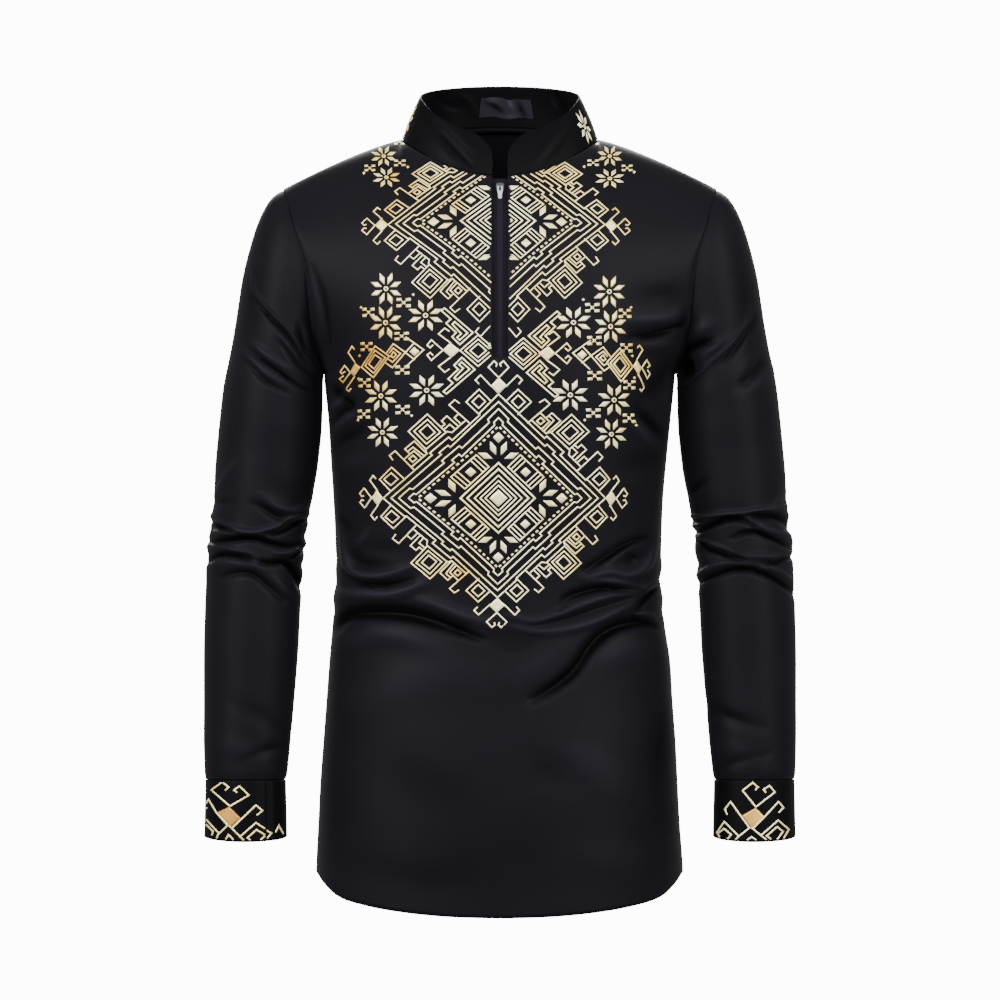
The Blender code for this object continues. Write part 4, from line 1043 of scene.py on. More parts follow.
def build_tape(side, name, node):
    """Half the zip tape: woven, flat where it is sewn, with a rounded cord beside the middle."""
    across = np.concatenate((np.linspace(0.15, 3.4, 14), np.linspace(4.2, TAPE_HALF / MM, 8)))
    x, drop = np.meshgrid(across * MM * side, np.linspace(TAPE_TOP_DROP, TAPE_END_DROP, 150))
    far = np.abs(x) / MM
    cord = 0.85 * np.exp(-((far - 1.9) / 0.9)**2) - 0.30 * np.exp(-((far - 4.0) / 0.8)**2)
    cord = cord - 0.30 * np.exp(-(far / 0.6)**2)
    grid = tape_point(x, drop, cord * MM)
    faces = outward_faces(grid, grid_faces(*grid.shape[:2]), (0, -1, 0))
    piece = mesh_piece(name, grid, faces, TAPE)
    give_wall(piece, 0.5 * MM)
    # the cord's height, four times over: a painted highlight on the rounded cord, painted shade in
    # the grooves beside it
    store_painted_shading_height(piece, 4.0 * cord)
    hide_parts(node)
    return piece


def build_teeth():
    """The zip's nylon coil, closed below the slider: short bars from either side in turn."""
    drops = np.arange(SLIDER_FOOT_DROP, SLIT_DROP, 0.0009)
    side = np.where(np.arange(len(drops)) % 2, 1.0, -1.0)
    middle = tape_point(side * 0.00015, drops)
    corner = np.array([(i, j, k) for i in (-1, 1) for j in (-1, 1) for k in (-1, 1)], dtype=float)
    half = np.array((0.75, 0.28, 0.30)) * MM
    shift = np.stack((side * 0.35 * MM, np.full_like(side, -0.10 * MM), 0 * side), axis=-1)
    points = (middle + shift)[:, None] + corner * half
    quads = np.array(((0, 1, 3, 2), (4, 6, 7, 5), (0, 4, 5, 1), (2, 3, 7, 6), (0, 2, 6, 4),
                      (1, 5, 7, 3)))
    faces = (np.arange(len(drops))[:, None, None] * 8 + quads).reshape(-1, 4)
    return mesh_piece("zip_coil_teeth", points, faces, COIL, smooth=False)


front = build_front()
back = build_back()
right_sleeve = build_sleeve(-1.0, "sleeve_cloth_right", "sleeve_wearer_right")
left_sleeve = build_sleeve(1.0, "sleeve_cloth_left", "sleeve_wearer_left")
RIGHT_LAP = math.radians(88)
LEFT_LAP = math.radians(250)
right_cuff = build_cuff(-1.0, RIGHT_LAP, "cuff_cloth_right", "cuff_wearer_right")
left_cuff = build_cuff(1.0, LEFT_LAP, "cuff_cloth_left", "cuff_wearer_left")
collar = build_collar()
label = build_label()
right_tape = build_tape(-1.0, "zip_tape_cloth_right", "zip_tape_wearer_right")
left_tape = build_tape(1.0, "zip_tape_cloth_left", "zip_tape_wearer_left")
teeth = build_teeth()


# ------------------------------------------------------------------ gold foil print
# The print is drawn in millimetres as it is seen from the front: x across with the middle of the
# shirt at 500, y down with the shoulder points at 140. Each point is then found on the cloth.
LINE = 1.32
CUFF_LINE = 1.6
BEHIND = 1000                # a cuff's hidden side is drawn this far below and placed behind
NEWTON_STEPS = 14
FOIL_LIFT = 0.22 * MM
CHART_X = np.linspace(-0.168, 0.168, 113)
CHART_Z = np.arange(0.0, 0.541, 0.002)


def find_on_front(x, drop):
    """Column and row of the front at a given x and drop: below the underarm straight from the
    oval, above it by Newton steps on both at once."""
    half = np.where(x < 0, along(BODY, 1, drop), along(BODY, 2, drop))
    u = np.sign(x) * 2 / PI * np.arcsin(np.clip(np.abs(x) / half, 0, 0.995))
    base = SLIT_DROP + (UNDERARM_DROP - SLIT_DROP) * u**2
    low_u, low_s = u, 1 + (drop - base) / (along(HEM, 1, np.abs(u)) - base)
    top = top_edge(u, True)[..., 2]
    v = np.clip((drop - top) / (base - top), 0.01, 1)
    s = np.arccos(1 - v) * 2 / PI
    e = 1e-4
    for _ in range(NEWTON_STEPS):
        here = body_point(u, s, -1.0)
        by_u = (body_point(u + e, s, -1.0) - here) / e
        by_s = (body_point(u, s + e, -1.0) - here) / e
        miss_x, miss_z = x - here[..., 0], -drop - here[..., 2]
        area = by_u[..., 0] * by_s[..., 2] - by_u[..., 2] * by_s[..., 0]
        area = np.where(np.abs(area) < 1e-7, -1e-7, area)
        du = (miss_x * by_s[..., 2] - miss_z * by_s[..., 0]) / area
        ds = (by_u[..., 0] * miss_z - by_u[..., 2] * miss_x) / area
        u = np.clip(u + np.clip(du, -0.05, 0.05), -0.99, 0.99)
        s = np.clip(s + np.clip(ds, -0.06, 0.06), 0.0, 1.0)
    below = low_s >= 1
    return np.where(below, low_u, u), np.where(below, low_s, s)


def chart_front():
    """Tables over x and drop: column and row of the cloth, and how far off the found point is."""
    x, drop = np.meshgrid(CHART_X, CHART_Z, indexing="ij")
    u, s = find_on_front(x, drop)
    here = body_point(u, s, -1.0)
    return u, s, np.hypot(here[..., 0] - x, here[..., 2] + drop)


def read_chart(table, x, y):
    """Value of a table at drawn points, by bilinear steps."""
    column = ((x - MIDDLE_X) * MM - CHART_X[0]) / (CHART_X[1] - CHART_X[0])
    row = (y - SHOULDER_Y) * MM / (CHART_Z[1] - CHART_Z[0])
    column = np.clip(column, 0, len(CHART_X) - 1.001)
    row = np.clip(row, 0, len(CHART_Z) - 1.001)
    c, r = column.astype(int), row.astype(int)
    fc, fr = column - c, row - r
    return ((table[c, r] * (1 - fc) + table[c + 1, r] * fc) * (1 - fr)
            + (table[c, r + 1] * (1 - fc) + table[c + 1, r + 1] * fc) * fr)


CHART_U, CHART_S, CHART_MISS = chart_front()


def ribbon(points, width, closed=False, step=2.6):
    """A line of a given width along flat points, mitred at its corners, square at its ends."""
    path = np.array(points, dtype=float)
    if closed:
        path = np.concatenate((path, path[:1]))
    else:
        for end, inner in ((0, 1), (-1, -2)):
            away = path[end] - path[inner]
            path[end] += away / np.linalg.norm(away) * width * 0.45
    runs = np.diff(path, axis=0)
    counts = np.maximum(1, np.ceil(np.linalg.norm(runs, axis=1) / step)).astype(int)
    fine = [path[:1]] + [path[i] + runs[i] * (np.arange(1, n + 1) / n)[:, None]
                         for i, n in enumerate(counts)]
    fine = np.concatenate(fine)
    way = np.diff(fine, axis=0)
    way /= np.linalg.norm(way, axis=1, keepdims=True)
    side = np.stack((-way[:, 1], way[:, 0]), axis=1)
    if closed:
        fine = fine[:-1]
        before, after = np.roll(side, 1, axis=0), side
    else:
        before = np.concatenate((side[:1], side))
        after = np.concatenate((side, side[-1:]))
    corner = np.maximum(1 + np.sum(before * after, axis=1, keepdims=True), 0.35)
    reach = (before + after) / corner * width / 2
    count = len(fine)
    i = np.arange(count if closed else count - 1)
    n = (i + 1) % count
    return np.concatenate((fine + reach, fine - reach)), np.stack((i, n, count + n, count + i), 1)


def patch(corners, parts=1):
    """A solid four-cornered shape, split into parts x parts."""
    a, b, c, d = (np.array(p, dtype=float) for p in corners)
    i, j = np.meshgrid(np.linspace(0, 1, parts + 1), np.linspace(0, 1, parts + 1), indexing="ij")
    i, j = i[..., None], j[..., None]
    points = (a * (1 - i) + b * i) * (1 - j) + (d * (1 - i) + c * i) * j
    return points.reshape(-1, 2), grid_faces(parts + 1, parts + 1)


class Foil:
    """Flat shapes of foil, gathered and then laid on the cloth as one piece."""

    def __init__(self):
        self.points, self.faces, self.layers, self.count, self.shapes = [], [], [], 0, 0
        self.deep = []

    def add(self, shape, deep=False):
        points, faces = shape
        self.deep.append(np.full(len(faces), deep))
        self.points.append(points)
        self.faces.append(faces + self.count)
        self.layers.append(np.full(len(points), self.shapes % 6))
        self.count += len(points)
        self.shapes += 1

    def line(self, points, width=LINE, closed=False):
        self.add(ribbon(points, width, closed))

    def solid(self, corners, parts=1, deep=False):
        self.add(patch(corners, parts), deep)

    def lay(self, name, place, keep, foil=GOLD_FOIL):
        """Make the piece: place() gives points of the cloth and keep() says which are on it.
        Neighbouring shapes lie at slightly different heights, so none cuts into another."""
        flat = np.concatenate(self.points)
        faces = np.concatenate(self.faces)
        lift = FOIL_LIFT + np.concatenate(self.layers) * 0.012 * MM
        solid = place(flat[:, 0], flat[:, 1], lift)
        on = keep(flat[:, 0], flat[:, 1])
        whole = on[faces].all(axis=1)
        faces, deep = faces[whole], np.concatenate(self.deep)[whole]
        corner = solid[faces]
        look = np.cross(corner[:, 2] - corner[:, 0], corner[:, 3] - corner[:, 1])
        under = place(flat[:, 0], flat[:, 1], 0.0)[faces]
        wrong = np.sum(look * (corner - under).mean(axis=1), axis=1) < 0
        faces[wrong] = faces[wrong][:, ::-1]
        piece = mesh_piece(name, *trim(solid, faces), foil)
        if deep.any():
            piece.data.materials.append(DEEP_FOIL)
            piece.data.polygons.foreach_set("material_index", deep.astype(int))
        give_wall(piece, 0.12 * MM)
        return piece


def petal(k, size, gap):
    """Corners of one of eight petals: a rhombus of two sides 45 degrees apart, moved out."""
    one, two, mid = (PI / 4 * t for t in (k, k + 1, k + 0.5))
    start = np.array((math.cos(mid), math.sin(mid))) * gap
    first = np.array((math.cos(one), math.sin(one))) * size
    second = np.array((math.cos(two), math.sin(two))) * size
    return [start, start + first, start + first + second, start + second]


def star(foil, centre, size=7.3, gap=4.6, wide=1.0, tall=1.0):
    """Eight-petalled star with a small ring in its middle."""
    for k in range(8):
        foil.solid([(centre[0] + c[0] * wide, centre[1] + c[1] * tall)
                    for c in petal(k, size, gap)], 3)
    ring = [(centre[0] + 2.0 * wide * math.cos(PI / 4 * k),
             centre[1] + 2.0 * tall * math.sin(PI / 4 * k)) for k in range(8)]
    foil.line(ring, 1.25, True)


def sprig(foil, centre, wide=1.0, tall=1.0, dot=None):
    """Four short bars round a small cross, sometimes with a stray dot beside them."""
    x, y = centre
    for i in (-1, 1):
        for j in (-1, 1):
            foil.solid([(x + (i * 4.7 + a) * wide, y + (j * 3.1 + b) * tall)
                        for a, b in ((-2.5, -1.2), (2.3, -1.6), (2.5, 1.2), (-2.3, 1.6))], 2)
        foil.line([(x - 1.3 * wide, y + 1.3 * i * tall), (x + 1.3 * wide, y - 1.3 * i * tall)],
                  1.2 * tall)
    if dot:
        dx, dy = dot
        foil.solid([(x + dx - 1.5, y + dy), (x + dx, y + dy - 1.6), (x + dx + 1.5, y + dy),
                    (x + dx, y + dy + 1.6)])


RING = 112.0
TURNED_HEIGHT = 0.905


def lower_drape(x, y):
    """How the lower diamond lies: drawn in a little at its foot, its left corner pulled out."""
    x = math.copysign(min(abs(x), 111) + 0.65 * max(abs(x) - 111, 0), x)
    reach = min(abs(x) / 70, 1)
    if x < 0:
        wide = 0.955 + 0.075 * max(0, 1 - (y / 75)**2) - 0.0003 * y
    else:
        wide = 0.955 - 0.0006 * y
    wide = 0.93 + (wide - 0.93) * reach * reach * (3 - 2 * reach)
    return 498.5 + x * wide - 0.0001 * y * y * (y > 0), 498.2 + y * (1 - 0.00022 * y)


def upper_drape(x, y):
    """How the upper diamond lies: shortened where the chest slopes back, its sides hanging."""
    x = math.copysign(min(abs(x), 111) + 0.76 * max(abs(x) - 111, 0), x)
    bulge = max(0, 1 - (y / 75)**2)
    wide = 0.945 + 0.045 * bulge if x < 0 else 0.905 + 0.040 * bulge
    return 499.0 + x * wide, 221.2 + 0.83 * y + 0.0012 * y * y + 4.3 * (x / 113)**2


def medallion(foil, drape, heavy=1.0):
    """The great diamond. It is drawn as a square standing on a corner: p and q run along its
    sides, s along a side and h outwards from its outermost line. One side is drawn and turned
    four times. The lines are LINE wide times `heavy`."""
    line = LINE * heavy

    def flat(p, q):
        return drape((p + q) / 2, (q - p) / 2 * TURNED_HEIGHT)

    def square(p, q, half):
        return [flat(p + i * half, q + j * half) for i, j in ((-1, -1), (1, -1), (1, 1), (-1, 1))]

    for k in range(4):
        def at(s, h):
            p, q = s, -(RING + h)
            for _ in range(k):
                p, q = -q, p
            return flat(p, q)

        def draw(points, width=line, closed=False):
            foil.line([at(s, h) for s, h in points], width, closed)

        def frame_square(s0, s1, h0, h1, width=line):
            draw([(s0, h0), (s1, h0), (s1, h1), (s0, h1)], width, True)

        # four nested lines with a jog in the middle of each side and steps near the corners
        draw([(-112, 0), (-18, 0), (-18, 4.5), (16, 4.5), (16, -2.3), (70, -2.3), (72, 0),
              (112, 0)])
        draw([(-104, -8), (-9, -8), (-9, -4), (7, -4), (7, -8.4), (104, -8)])
        draw([(-96.5, -15.5), (-75, -15.5), (-73, -19.6), (-15, -20), (-15, -15.4), (17, -15.4),
              (17, -20.4), (72, -20.2), (74, -15.5), (96.5, -15.5)])
        draw([(-87, -25), (-77, -25), (-75, -28.6), (-5, -29), (-5, -24), (8, -24), (8, -29.2),
              (75, -28.8), (77, -25), (87, -25)])
        # dotted line
        for i in range(18):
            s = -78 + (i + 0.5) * 156 / 18
            foil.solid([at(s - 2.2, -35.4), at(s + 2.2, -35.4), at(s + 2.2, -32.6),
                        at(s - 2.2, -32.6)])
        # box with bars beside the middle squares
        low, high = RING - 57.3 - 13, RING - 57.3 + 13
        frame_square(-24, 24, -low, -high)
        for bar in (-18.2, -12.3, 12.3, 18.2):
            draw([(bar, -low), (bar, -high)], line)
        foil.solid([at(-5.4, -RING + 62.7), at(5.4, -RING + 62.7), at(5.4, -RING + 51.9),
                    at(-5.4, -RING + 51.9)], 3)
        # maze outside the side: hooks, ringed squares and keys
        draw([(-51, 0), (-50, 41), (-60, 41), (-61.5, 33)])
        draw([(51, -2), (50, 39), (61, 39), (62, 31)])
        draw([(-50.5, 6.5), (-21.5, 6.5), (-19, 12.5), (20, 12.5), (24, 6.5), (50.5, 6.5)])
        draw([(-50, 22.5), (-31.5, 22.5), (-31, 6.5)])
        frame_square(-44.2, -36.8, 10.8, 18.2, line)
        draw([(-38.5, 22.5), (-38.5, 33.5), (-21.5, 33.5), (-21.5, 6.5)])
        draw([(-38.5, 27.8), (-28.6, 27.8), (-26.6, 6.5)])
        frame_square(-18, 18.5, 12.5, 51)
        frame_square(-12.2, 13, 18, 45.5)
        frame_square(-6.8, 7.8, 23, 39.8)
        draw([(18.5, 22.8), (25.5, 22.8), (25.5, 29.8), (36, 29.8), (36.5, 6.5)])
        draw([(18.5, 17.8), (30, 17.8), (30.5, 6.5)])
        draw([(41.5, 6.5), (41.5, 20.5), (50, 20.5)])
        for i in (-1, 1):
            draw([(i * 70, -1), (i * 70, 25.5), (i * 96.5, 25.5), (i * 96.5, 0)])
            frame_square(i * 83.2 - 7, i * 83.2 + 7, 6, 19.5)
        # corner: a solid square with two arms and two horns
        foil.solid([at(112, 0), at(130, 0), at(130, 17), at(112, 17)], 5)
        draw([(112.5, 16), (113, 39), (102.5, 39), (102, 32)])
        draw([(129.5, 16), (129.5, 39), (142, 39.5), (142, 33.5), (138.6, 31.6)])
        draw([(129.5, 17), (151, 17), (152, 29.5), (145.5, 30), (143.6, 26.6)])
        draw([(128, 0), (151.5, 0), (151.5, -10), (144.5, -10.5)])

    # the middle: nested squares, a solid one in each corner, and half a star in each corner
    for half, width in ((38.5, 1.3 * line), (32, 1.3 * line), (24.9, line), (19.2, line),
                        (14, line)):
        foil.line(square(0, 0, half), width, True)
    foil.solid(square(0, 0, 9.6), 5)
    for i, j, first in ((1, 1, 7), (-1, 1, 1), (-1, -1, 3), (1, -1, 5)):
        foil.solid(square(i * 66, j * 66, 5.9), 3)
        for k in range(first, first + 4):
            foil.solid([flat(i * 40.5 + c[0], j * 40.5 + c[1]) for c in petal(k, 12.6, 9.6)], 3)


def diamond(centre, wide, tall):
    """Corners of a diamond."""
    x, y = centre
    return [(x - wide, y), (x, y - tall), (x + wide, y), (x, y + tall)]


def middle_band(foil, mirror):
    """Half of the band between the two great diamonds; the other half is its mirror image."""
    def put(points, total):
        return [(total - x, y + 3.2) for x, y in points] if mirror else points

    def draw(points, width=LINE, closed=False, total=996.5):
        foil.line(put(points, total), width, closed)

    def solid(points, parts=3, total=996.5):
        foil.solid(put(points, total), parts)

    solid([(442.9, 350.7), (450.4, 343.3), (460.1, 350.8), (451.6, 358.3)], 5, 998.2)
    for flip in (1, -1):
        for points in ([(450, -7.4), (438.2, -16.2), (444.4, -22.0), (448.6, -19.0)],
                       [(442.6, 0), (431.0, -10.3), (426.8, -4.9), (429.8, -2.3), (432.4, -4.9)]):
            draw([(x + 0.6, 350.8 + y * flip) for x, y in points], total=998.2)
    for wide, tall in ((18, 15.6), (13, 11.2), (8, 7)):
        draw(diamond((478.3, 351.2), wide, tall), LINE, True, 1001.5)
    outer = [(-17.8, -98.9), (-12.2, -98.3), (-8.3, -45.6), (-33.3, -46.7), (-33.3, -62.2),
             (-25, -62.2), (-25.6, -81.7), (-16.7, -80.9)]
    inner = [(-20.5, -74.5), (-15.6, -74.5), (-13.9, -50.6), (-28.9, -51.4), (-28.9, -56.7),
             (-21.1, -56)]
    for key in (outer, inner):
        draw([(500 + (p + q) / 2, 352 + (q - p) / 2) for p, q in key], 1.45, True, 1001.5)
        draw([(502 + (p + q) / 2, 351.4 - (q - p) / 2) for p, q in key], 1.45, True, 1001.5)
    # chain going outwards
    for points in ([(406.4, 337.8), (424.0, 350.4), (407.2, 366.5)],
                   [(413.5, 344.7), (405.8, 353.0), (414.7, 360.2)],
                   [(386.8, 353.6), (393.7, 344.4), (405.8, 353.0), (392.9, 368.2),
                    (386.5, 363.6)],
                   [(389.7, 353.6), (393.7, 348.7), (400.9, 354.2), (393.1, 362.8),
                    (388.9, 359.8)]):
        draw(points)
    draw([(393.7, 352.4), (396.8, 355.0), (393.7, 358.4), (391.2, 356.8)], 1.2, True)
    solid([(409.9, 352.1), (414.7, 347.4), (419.5, 352.1), (414.7, 356.8)])


RINGS = (                    # slanted ringed squares at the two ends of the band
    ((361.9, 367.6), (375.6, 346.7), (389.7, 356.7), (373.9, 378.0)),
    ((606.4, 363.0), (619.3, 348.8), (632.4, 367.1), (620.6, 382.0)),
)
END_SOLIDS = (               # the solid figures beyond them
    ((350.6, 372.6), (355.5, 363.1), (361.0, 367.6), (354.7, 377.0)),
    ((632.5, 366.5), (636.3, 360.0), (641.2, 368.2), (638.0, 375.6)),
)
END_LINES = (                # their arms and horns
    ((355.5, 363.1), (348.7, 353.0), (352.4, 346.7), (354.7, 349.8)),
    ((350.3, 372.5), (345.2, 365.9), (340.6, 372.2), (342.3, 374.2), (345.2, 372.0)),
    ((350.3, 373.4), (343.2, 382.9), (339.8, 379.1), (343.5, 376.5)),
    ((354.7, 377.4), (346.9, 388.9), (350.1, 391.8), (351.8, 389.2)),
    ((636.3, 360.2), (642.0, 350.4), (638.6, 345.8), (636.8, 348.1)),
    ((641.4, 368.2), (646.3, 360.5), (649.7, 365.9), (647.5, 367.6)),
    ((641.4, 368.2), (647.5, 379.1), (650.6, 374.5), (647.5, 370.8)),
    ((638.0, 375.1), (644.9, 388.0), (642.0, 391.8), (640.3, 389.7)),
)


def band_ends(foil):
    """The figures at the two ends of the middle band."""
    for ring in RINGS:
        ring = np.array(ring)
        centre = ring.mean(axis=0)
        for share in (1.0, 0.73, 0.46):
            foil.line([tuple(p) for p in centre + (ring - centre) * share], 1.4, True)
    for corners in END_SOLIDS:
        foil.solid(corners, 4)
    for points in END_LINES:
        foil.line(points, 1.35)


STARS = (                    # place, width and height of each star
    (383.8, 156.6, 0.74, 0.62), (386.6, 178.0, 0.80, 0.62), (386.4, 289.4, 0.90, 1.0),
    (386.0, 323.3, 0.92, 1.02), (425.8, 316.2, 1.02, 0.98), (381.3, 396.3, 0.94, 0.97),
    (427.0, 390.8, 1.02, 0.98), (382.8, 432.6, 0.92, 0.92), (609.6, 156.6, 0.72, 0.62),
    (609.6, 179.2, 0.86, 0.60), (609.0, 292.4, 0.92, 1.0), (610.2, 327.2, 0.92, 1.02),
    (573.2, 323.2, 1.02, 0.98), (570.0, 395.4, 1.04, 0.98), (613.8, 400.4, 0.94, 0.97),
    (611.0, 434.4, 0.90, 0.94),
)
SPRIGS = (                   # place, width, height and the stray dot beside it
    (399.6, 142.0, 0.75, 0.7, None), (400.0, 163.6, 0.8, 0.7, (8, 4)),
    (370.0, 168.4, 0.75, 0.7, (-6, 5)), (404.0, 303.4, 1, 1, (9.5, -8)),
    (369.0, 313.0, 0.85, 1, (-7.5, -5)), (402.0, 336.8, 1, 0.9, None),
    (367.0, 347.2, 0.85, 1, (-7, 9)), (365.0, 383.2, 0.85, 1, (-6, -4)),
    (402.6, 370.4, 1, 1, None), (403.0, 410.0, 1, 1, (9, 6)), (364.4, 414.4, 0.85, 1, (-6, 6)),
    (593.6, 142.0, 0.75, 0.7, None), (593.0, 163.4, 0.8, 0.7, (-9, 4)),
    (627.0, 168.4, 0.75, 0.7, (7, 4)), (592.0, 308.4, 1, 1, (-9, -8)),
    (624.4, 314.0, 0.85, 1, (6.5, -6)), (594.0, 341.2, 1, 1, None),
    (626.0, 348.4, 0.85, 1, (6, 8)), (594.4, 376.2, 1, 1, None),
    (593.0, 413.4, 1, 1, (-8.5, 7)), (629.0, 385.2, 0.85, 1, (5, -7)),
    (628.4, 418.4, 0.85, 1, (6, 7)),
)


def front_print():
    """All the foil on the front."""
    foil = Foil()
    medallion(foil, lower_drape)
    medallion(foil, upper_drape, 0.86)
    middle_band(foil, False)
    middle_band(foil, True)
    band_ends(foil)
    for x, y, wide, tall in STARS:
        star(foil, (x, y), wide=wide, tall=tall * 0.95)
    for x, y, wide, tall, dot in SPRIGS:
        sprig(foil, (x, y), wide, tall, dot)

    def place(x, y, lift):
        return body_cloth(read_chart(CHART_U, x, y), read_chart(CHART_S, x, y), -1.0, lift)

    def keep(x, y):
        row = read_chart(CHART_S, x, y)
        on = (read_chart(CHART_MISS, x, y) < 0.0006) & (row > 0.03)
        return on & ((np.abs(x - MIDDLE_X) > 8.2) | (row > 1.004))

    return foil.lay("foil_print_front", place, keep)


foil_front = front_print()

# a solid square with arms and horns, and beside it rings and lines that run out at the cuff's edge
RIGHT_CUFF_PRINT = (
    ("solid", (217, 812), (230, 806), (241.5, 817.5), (230.5, 827)),
    ("line", (230, 805), (211.5, 789.5), (222.5, 781.5), (229, 786.5), (226, 789.5)),
    ("line", (230.5, 805.5), (249.5, 794.5), (240, 785.5), (234.5, 789.5), (237, 791.5)),
    ("line", (233, 827), (256.5, 804.5), (263, 810), (258, 814)),
    ("line", (228, 824), (217, 812), (209, 799), (206, 804), (207, 808)),
    ("line", (228, 825), (219, 834), (217.5, 838)),
    ("line", (230, 825), (246, 841)),
    ("line", (206, 818), (220, 833)),
    ("line", (206, 823), (214, 831), (213, 834)),
    ("line", (226, 839.5), (229.5, 834), (235, 840)),
    ("line", (240.5, 836), (256.5, 822), (272, 832.5), (268, 838)),
    ("line", (252, 840), (248, 837), (257, 829), (266, 834.5), (260, 840)),
    ("line", (276, 831), (279, 825), (283, 833)),
)
LEFT_CUFF_PRINT = (
    ("solid", (741, 815), (755, 807), (764, 816), (751.5, 828)),
    ("line", (755, 806), (742, 790), (752, 782), (757.5, 786.5), (755, 789)),
    ("line", (755.5, 806), (774.5, 791.5), (769, 785), (763, 789), (765, 791.5)),
    ("line", (749, 827), (740, 815), (730, 801), (724.5, 808.5), (726.5, 813.5)),
    ("line", (752, 828), (764, 816), (778, 801), (783, 807), (778.5, 811.5)),
    ("line", (749, 827), (738, 836), (733, 841)),
    ("line", (751, 827), (768, 841)),
    ("line", (722, 840), (717, 832), (724, 821), (738, 835)),
    ("line", (719, 832), (724, 828), (731, 834), (726, 840)),
    ("line", (761, 834), (777.5, 819.5), (788, 829), (783, 837)),
    ("line", (772, 840), (766, 835), (776.5, 826), (782, 831), (776, 839)),
    ("line", (744, 841), (751, 836), (758, 841)),
)


def cuff_print(name, figures, side, start):
    """The foil on a cuff, drawn from the front and repeated on the side that is turned away."""
    foil = Foil()
    for way in (0, BEHIND):
        for kind, *points in figures:
            points = [(x, y + way) for x, y in points]
            if kind == "solid":
                foil.solid(points, 8, deep=True)
            else:
                foil.add(ribbon(points, CUFF_LINE, step=1.0))

    def find(x, y):
        behind = y > BEHIND
        drop = (np.where(behind, y - BEHIND, y) - SHOULDER_Y) * MM
        cosine = (np.abs(x - MIDDLE_X) * MM - WRIST_CENTRE) / (WRIST_HALF - 0.0002)
        turn = np.arccos(np.clip(cosine, -0.999, 0.999)) * np.where(behind, -1, 1)
        front = np.clip(np.sin(turn), 0, 1)
        share = (drop - CUFF_TOP_DROP - SEAM) / (CUFF_HEIGHT + CUFF_FRONT_DIP * front)
        return turn, share, cosine

    def place(x, y, lift):
        turn, share, _ = find(x, y)
        past = (turn - start) % (2 * PI)
        step = np.where(past > CUFF_TURN, lap_step(past), 0.0)
        return cuff_point(turn, np.clip(share, 0, 1), side, step - lift)

    def keep(x, y):
        turn, share, cosine = find(x, y)
        past = (turn - start) % (2 * PI)
        on = (share > 0.02) & (share < 0.985) & (np.abs(cosine) < 0.985)
        return on & (np.abs(past - CUFF_TURN) > 0.008)

    return foil.lay(name, place, keep, CUFF_FOIL)


def collar_print():
    """A star on each side of the collar. It is drawn in millimetres round the band and up it."""
    foil = Foil()
    (right_turn, right_low), (left_turn, left_low) = COLLAR_STARS
    for side, low in ((-1, right_low), (1, left_low)):
        star(foil, (side * 100, low), size=6.6, gap=3.4, wide=0.78, tall=1.17)

    def place(x, y, lift):
        turn = np.where(x < 0, right_turn, left_turn) + (x - np.sign(x) * 100) * MM / 0.088
        return collar_cloth(turn, 0.50 - y * MM / COLLAR_HEIGHT, lift)

    def keep(x, y):
        return np.abs(y * MM / COLLAR_HEIGHT) < 0.47

    return foil.lay("foil_print_collar", place, keep)


# how far round the collar each star is, and how many millimetres below its middle
COLLAR_STARS = ((-1.66, 3.5), (1.95, 2.0))
foil_right_cuff = cuff_print("foil_print_cuff_right", RIGHT_CUFF_PRINT, -1.0, RIGHT_LAP)
foil_left_cuff = cuff_print("foil_print_cuff_left", LEFT_CUFF_PRINT, 1.0, LEFT_LAP)
foil_collar = collar_print()

for node, material in (("zip_slider", SLIDER_PAINTED_DARK), ("zip_pull", NICKEL)):
    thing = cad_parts[node]
    thing.data.materials.clear()
    thing.data.materials.append(material)


# ------------------------------------------------------------------ stage, lights, camera
STAGE_GLOW = 14.0
FLOOR = -1.05


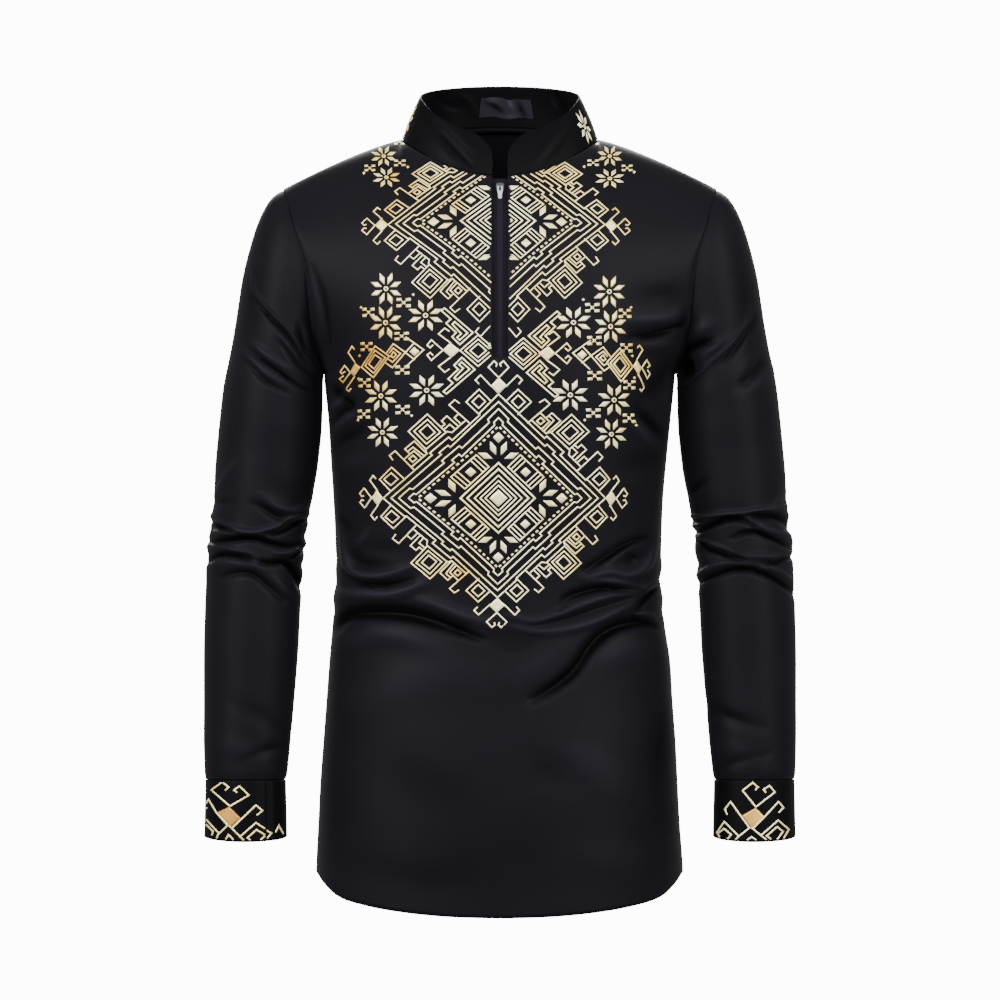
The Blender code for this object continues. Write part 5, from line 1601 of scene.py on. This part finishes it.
def pale_floor(name, colour):
    """A plain pale studio floor, bright enough to be plain white."""
    x, y = np.meshgrid(np.linspace(-7, 7, 15), np.linspace(-7, 7, 15))
    grid = np.stack((x, y, np.full_like(x, FLOOR)), axis=-1)
    mesh = bpy.data.meshes.new(name)
    mesh.from_pydata(grid.reshape(-1, 3).tolist(), [], grid_faces(15, 15).tolist())
    floor = bpy.data.objects.new(name, mesh)
    bpy.context.scene.collection.objects.link(floor)
    material, _, _ = new_material(name, Base_Color=linear(colour), Roughness=0.9,
                                  Emission_Color=linear(colour), Emission_Strength=STAGE_GLOW)
    mesh.materials.append(material)
    floor.visible_glossy = False      # the dark satin would mirror it as a bright rim
    floor.visible_diffuse = False


def studio_air(colour, strength):
    """The light from all round: soft and even on the shirt, plain white behind it."""
    world = bpy.data.worlds.new("studio_air")
    world.use_nodes = True
    tree = world.node_tree
    shader = tree.nodes["Background"]
    shader.inputs["Color"].default_value = linear(colour)
    path = add_node(tree, "ShaderNodeLightPath")
    level = add_node(tree, "ShaderNodeMath", {"operation": "MULTIPLY_ADD"})
    tree.links.new(path.outputs["Is Camera Ray"], level.inputs[0])
    level.inputs[1].default_value = STAGE_GLOW - strength
    level.inputs[2].default_value = strength
    tree.links.new(level.outputs[0], shader.inputs["Strength"])
    bpy.context.scene.world = world


def area_light(name, place, target, size, power):
    """A white soft box at a place, pointing at a target."""
    light = bpy.data.lights.new(name, "AREA")
    light.shape = "RECTANGLE"
    light.size, light.size_y = size
    light.energy = power
    lamp = bpy.data.objects.new(name, light)
    bpy.context.scene.collection.objects.link(lamp)
    lamp.location = place
    lamp.rotation_euler = (Vector(target) - Vector(place)).to_track_quat("-Z", "Y").to_euler()


pale_floor("studio_floor", "#F6F6F6")
area_light("soft_box_left", (-2.1, -1.9, 0.80), (0, 0, -0.22), (1.5, 1.4), 134)
area_light("soft_box_right", (2.15, -1.9, 0.75), (0, 0, -0.22), (1.5, 1.4), 118)
area_light("soft_box_front", (0.0, -2.9, 1.3), (0, 0, -0.10), (1.8, 0.9), 78)
area_light("soft_box_back", (0.0, 2.9, 1.1), (0, 0, -0.20), (2.4, 1.6), 150)
studio_air("#F4F5F8", 0.43)

CAMERA_AWAY = 30.0
camera_data = bpy.data.cameras.new("camera")
camera_data.sensor_width = 36.0
camera_data.lens = 36.0 * CAMERA_AWAY
camera_data.clip_end = 100.0
camera = bpy.data.objects.new("camera", camera_data)
bpy.context.scene.collection.objects.link(camera)
camera.location = (0.0, -CAMERA_AWAY, -0.36)
aim = Vector((0.0, 0.0, -0.36)) - camera.location
camera.rotation_euler = aim.to_track_quat("-Z", "Y").to_euler()
bpy.context.scene.camera = camera
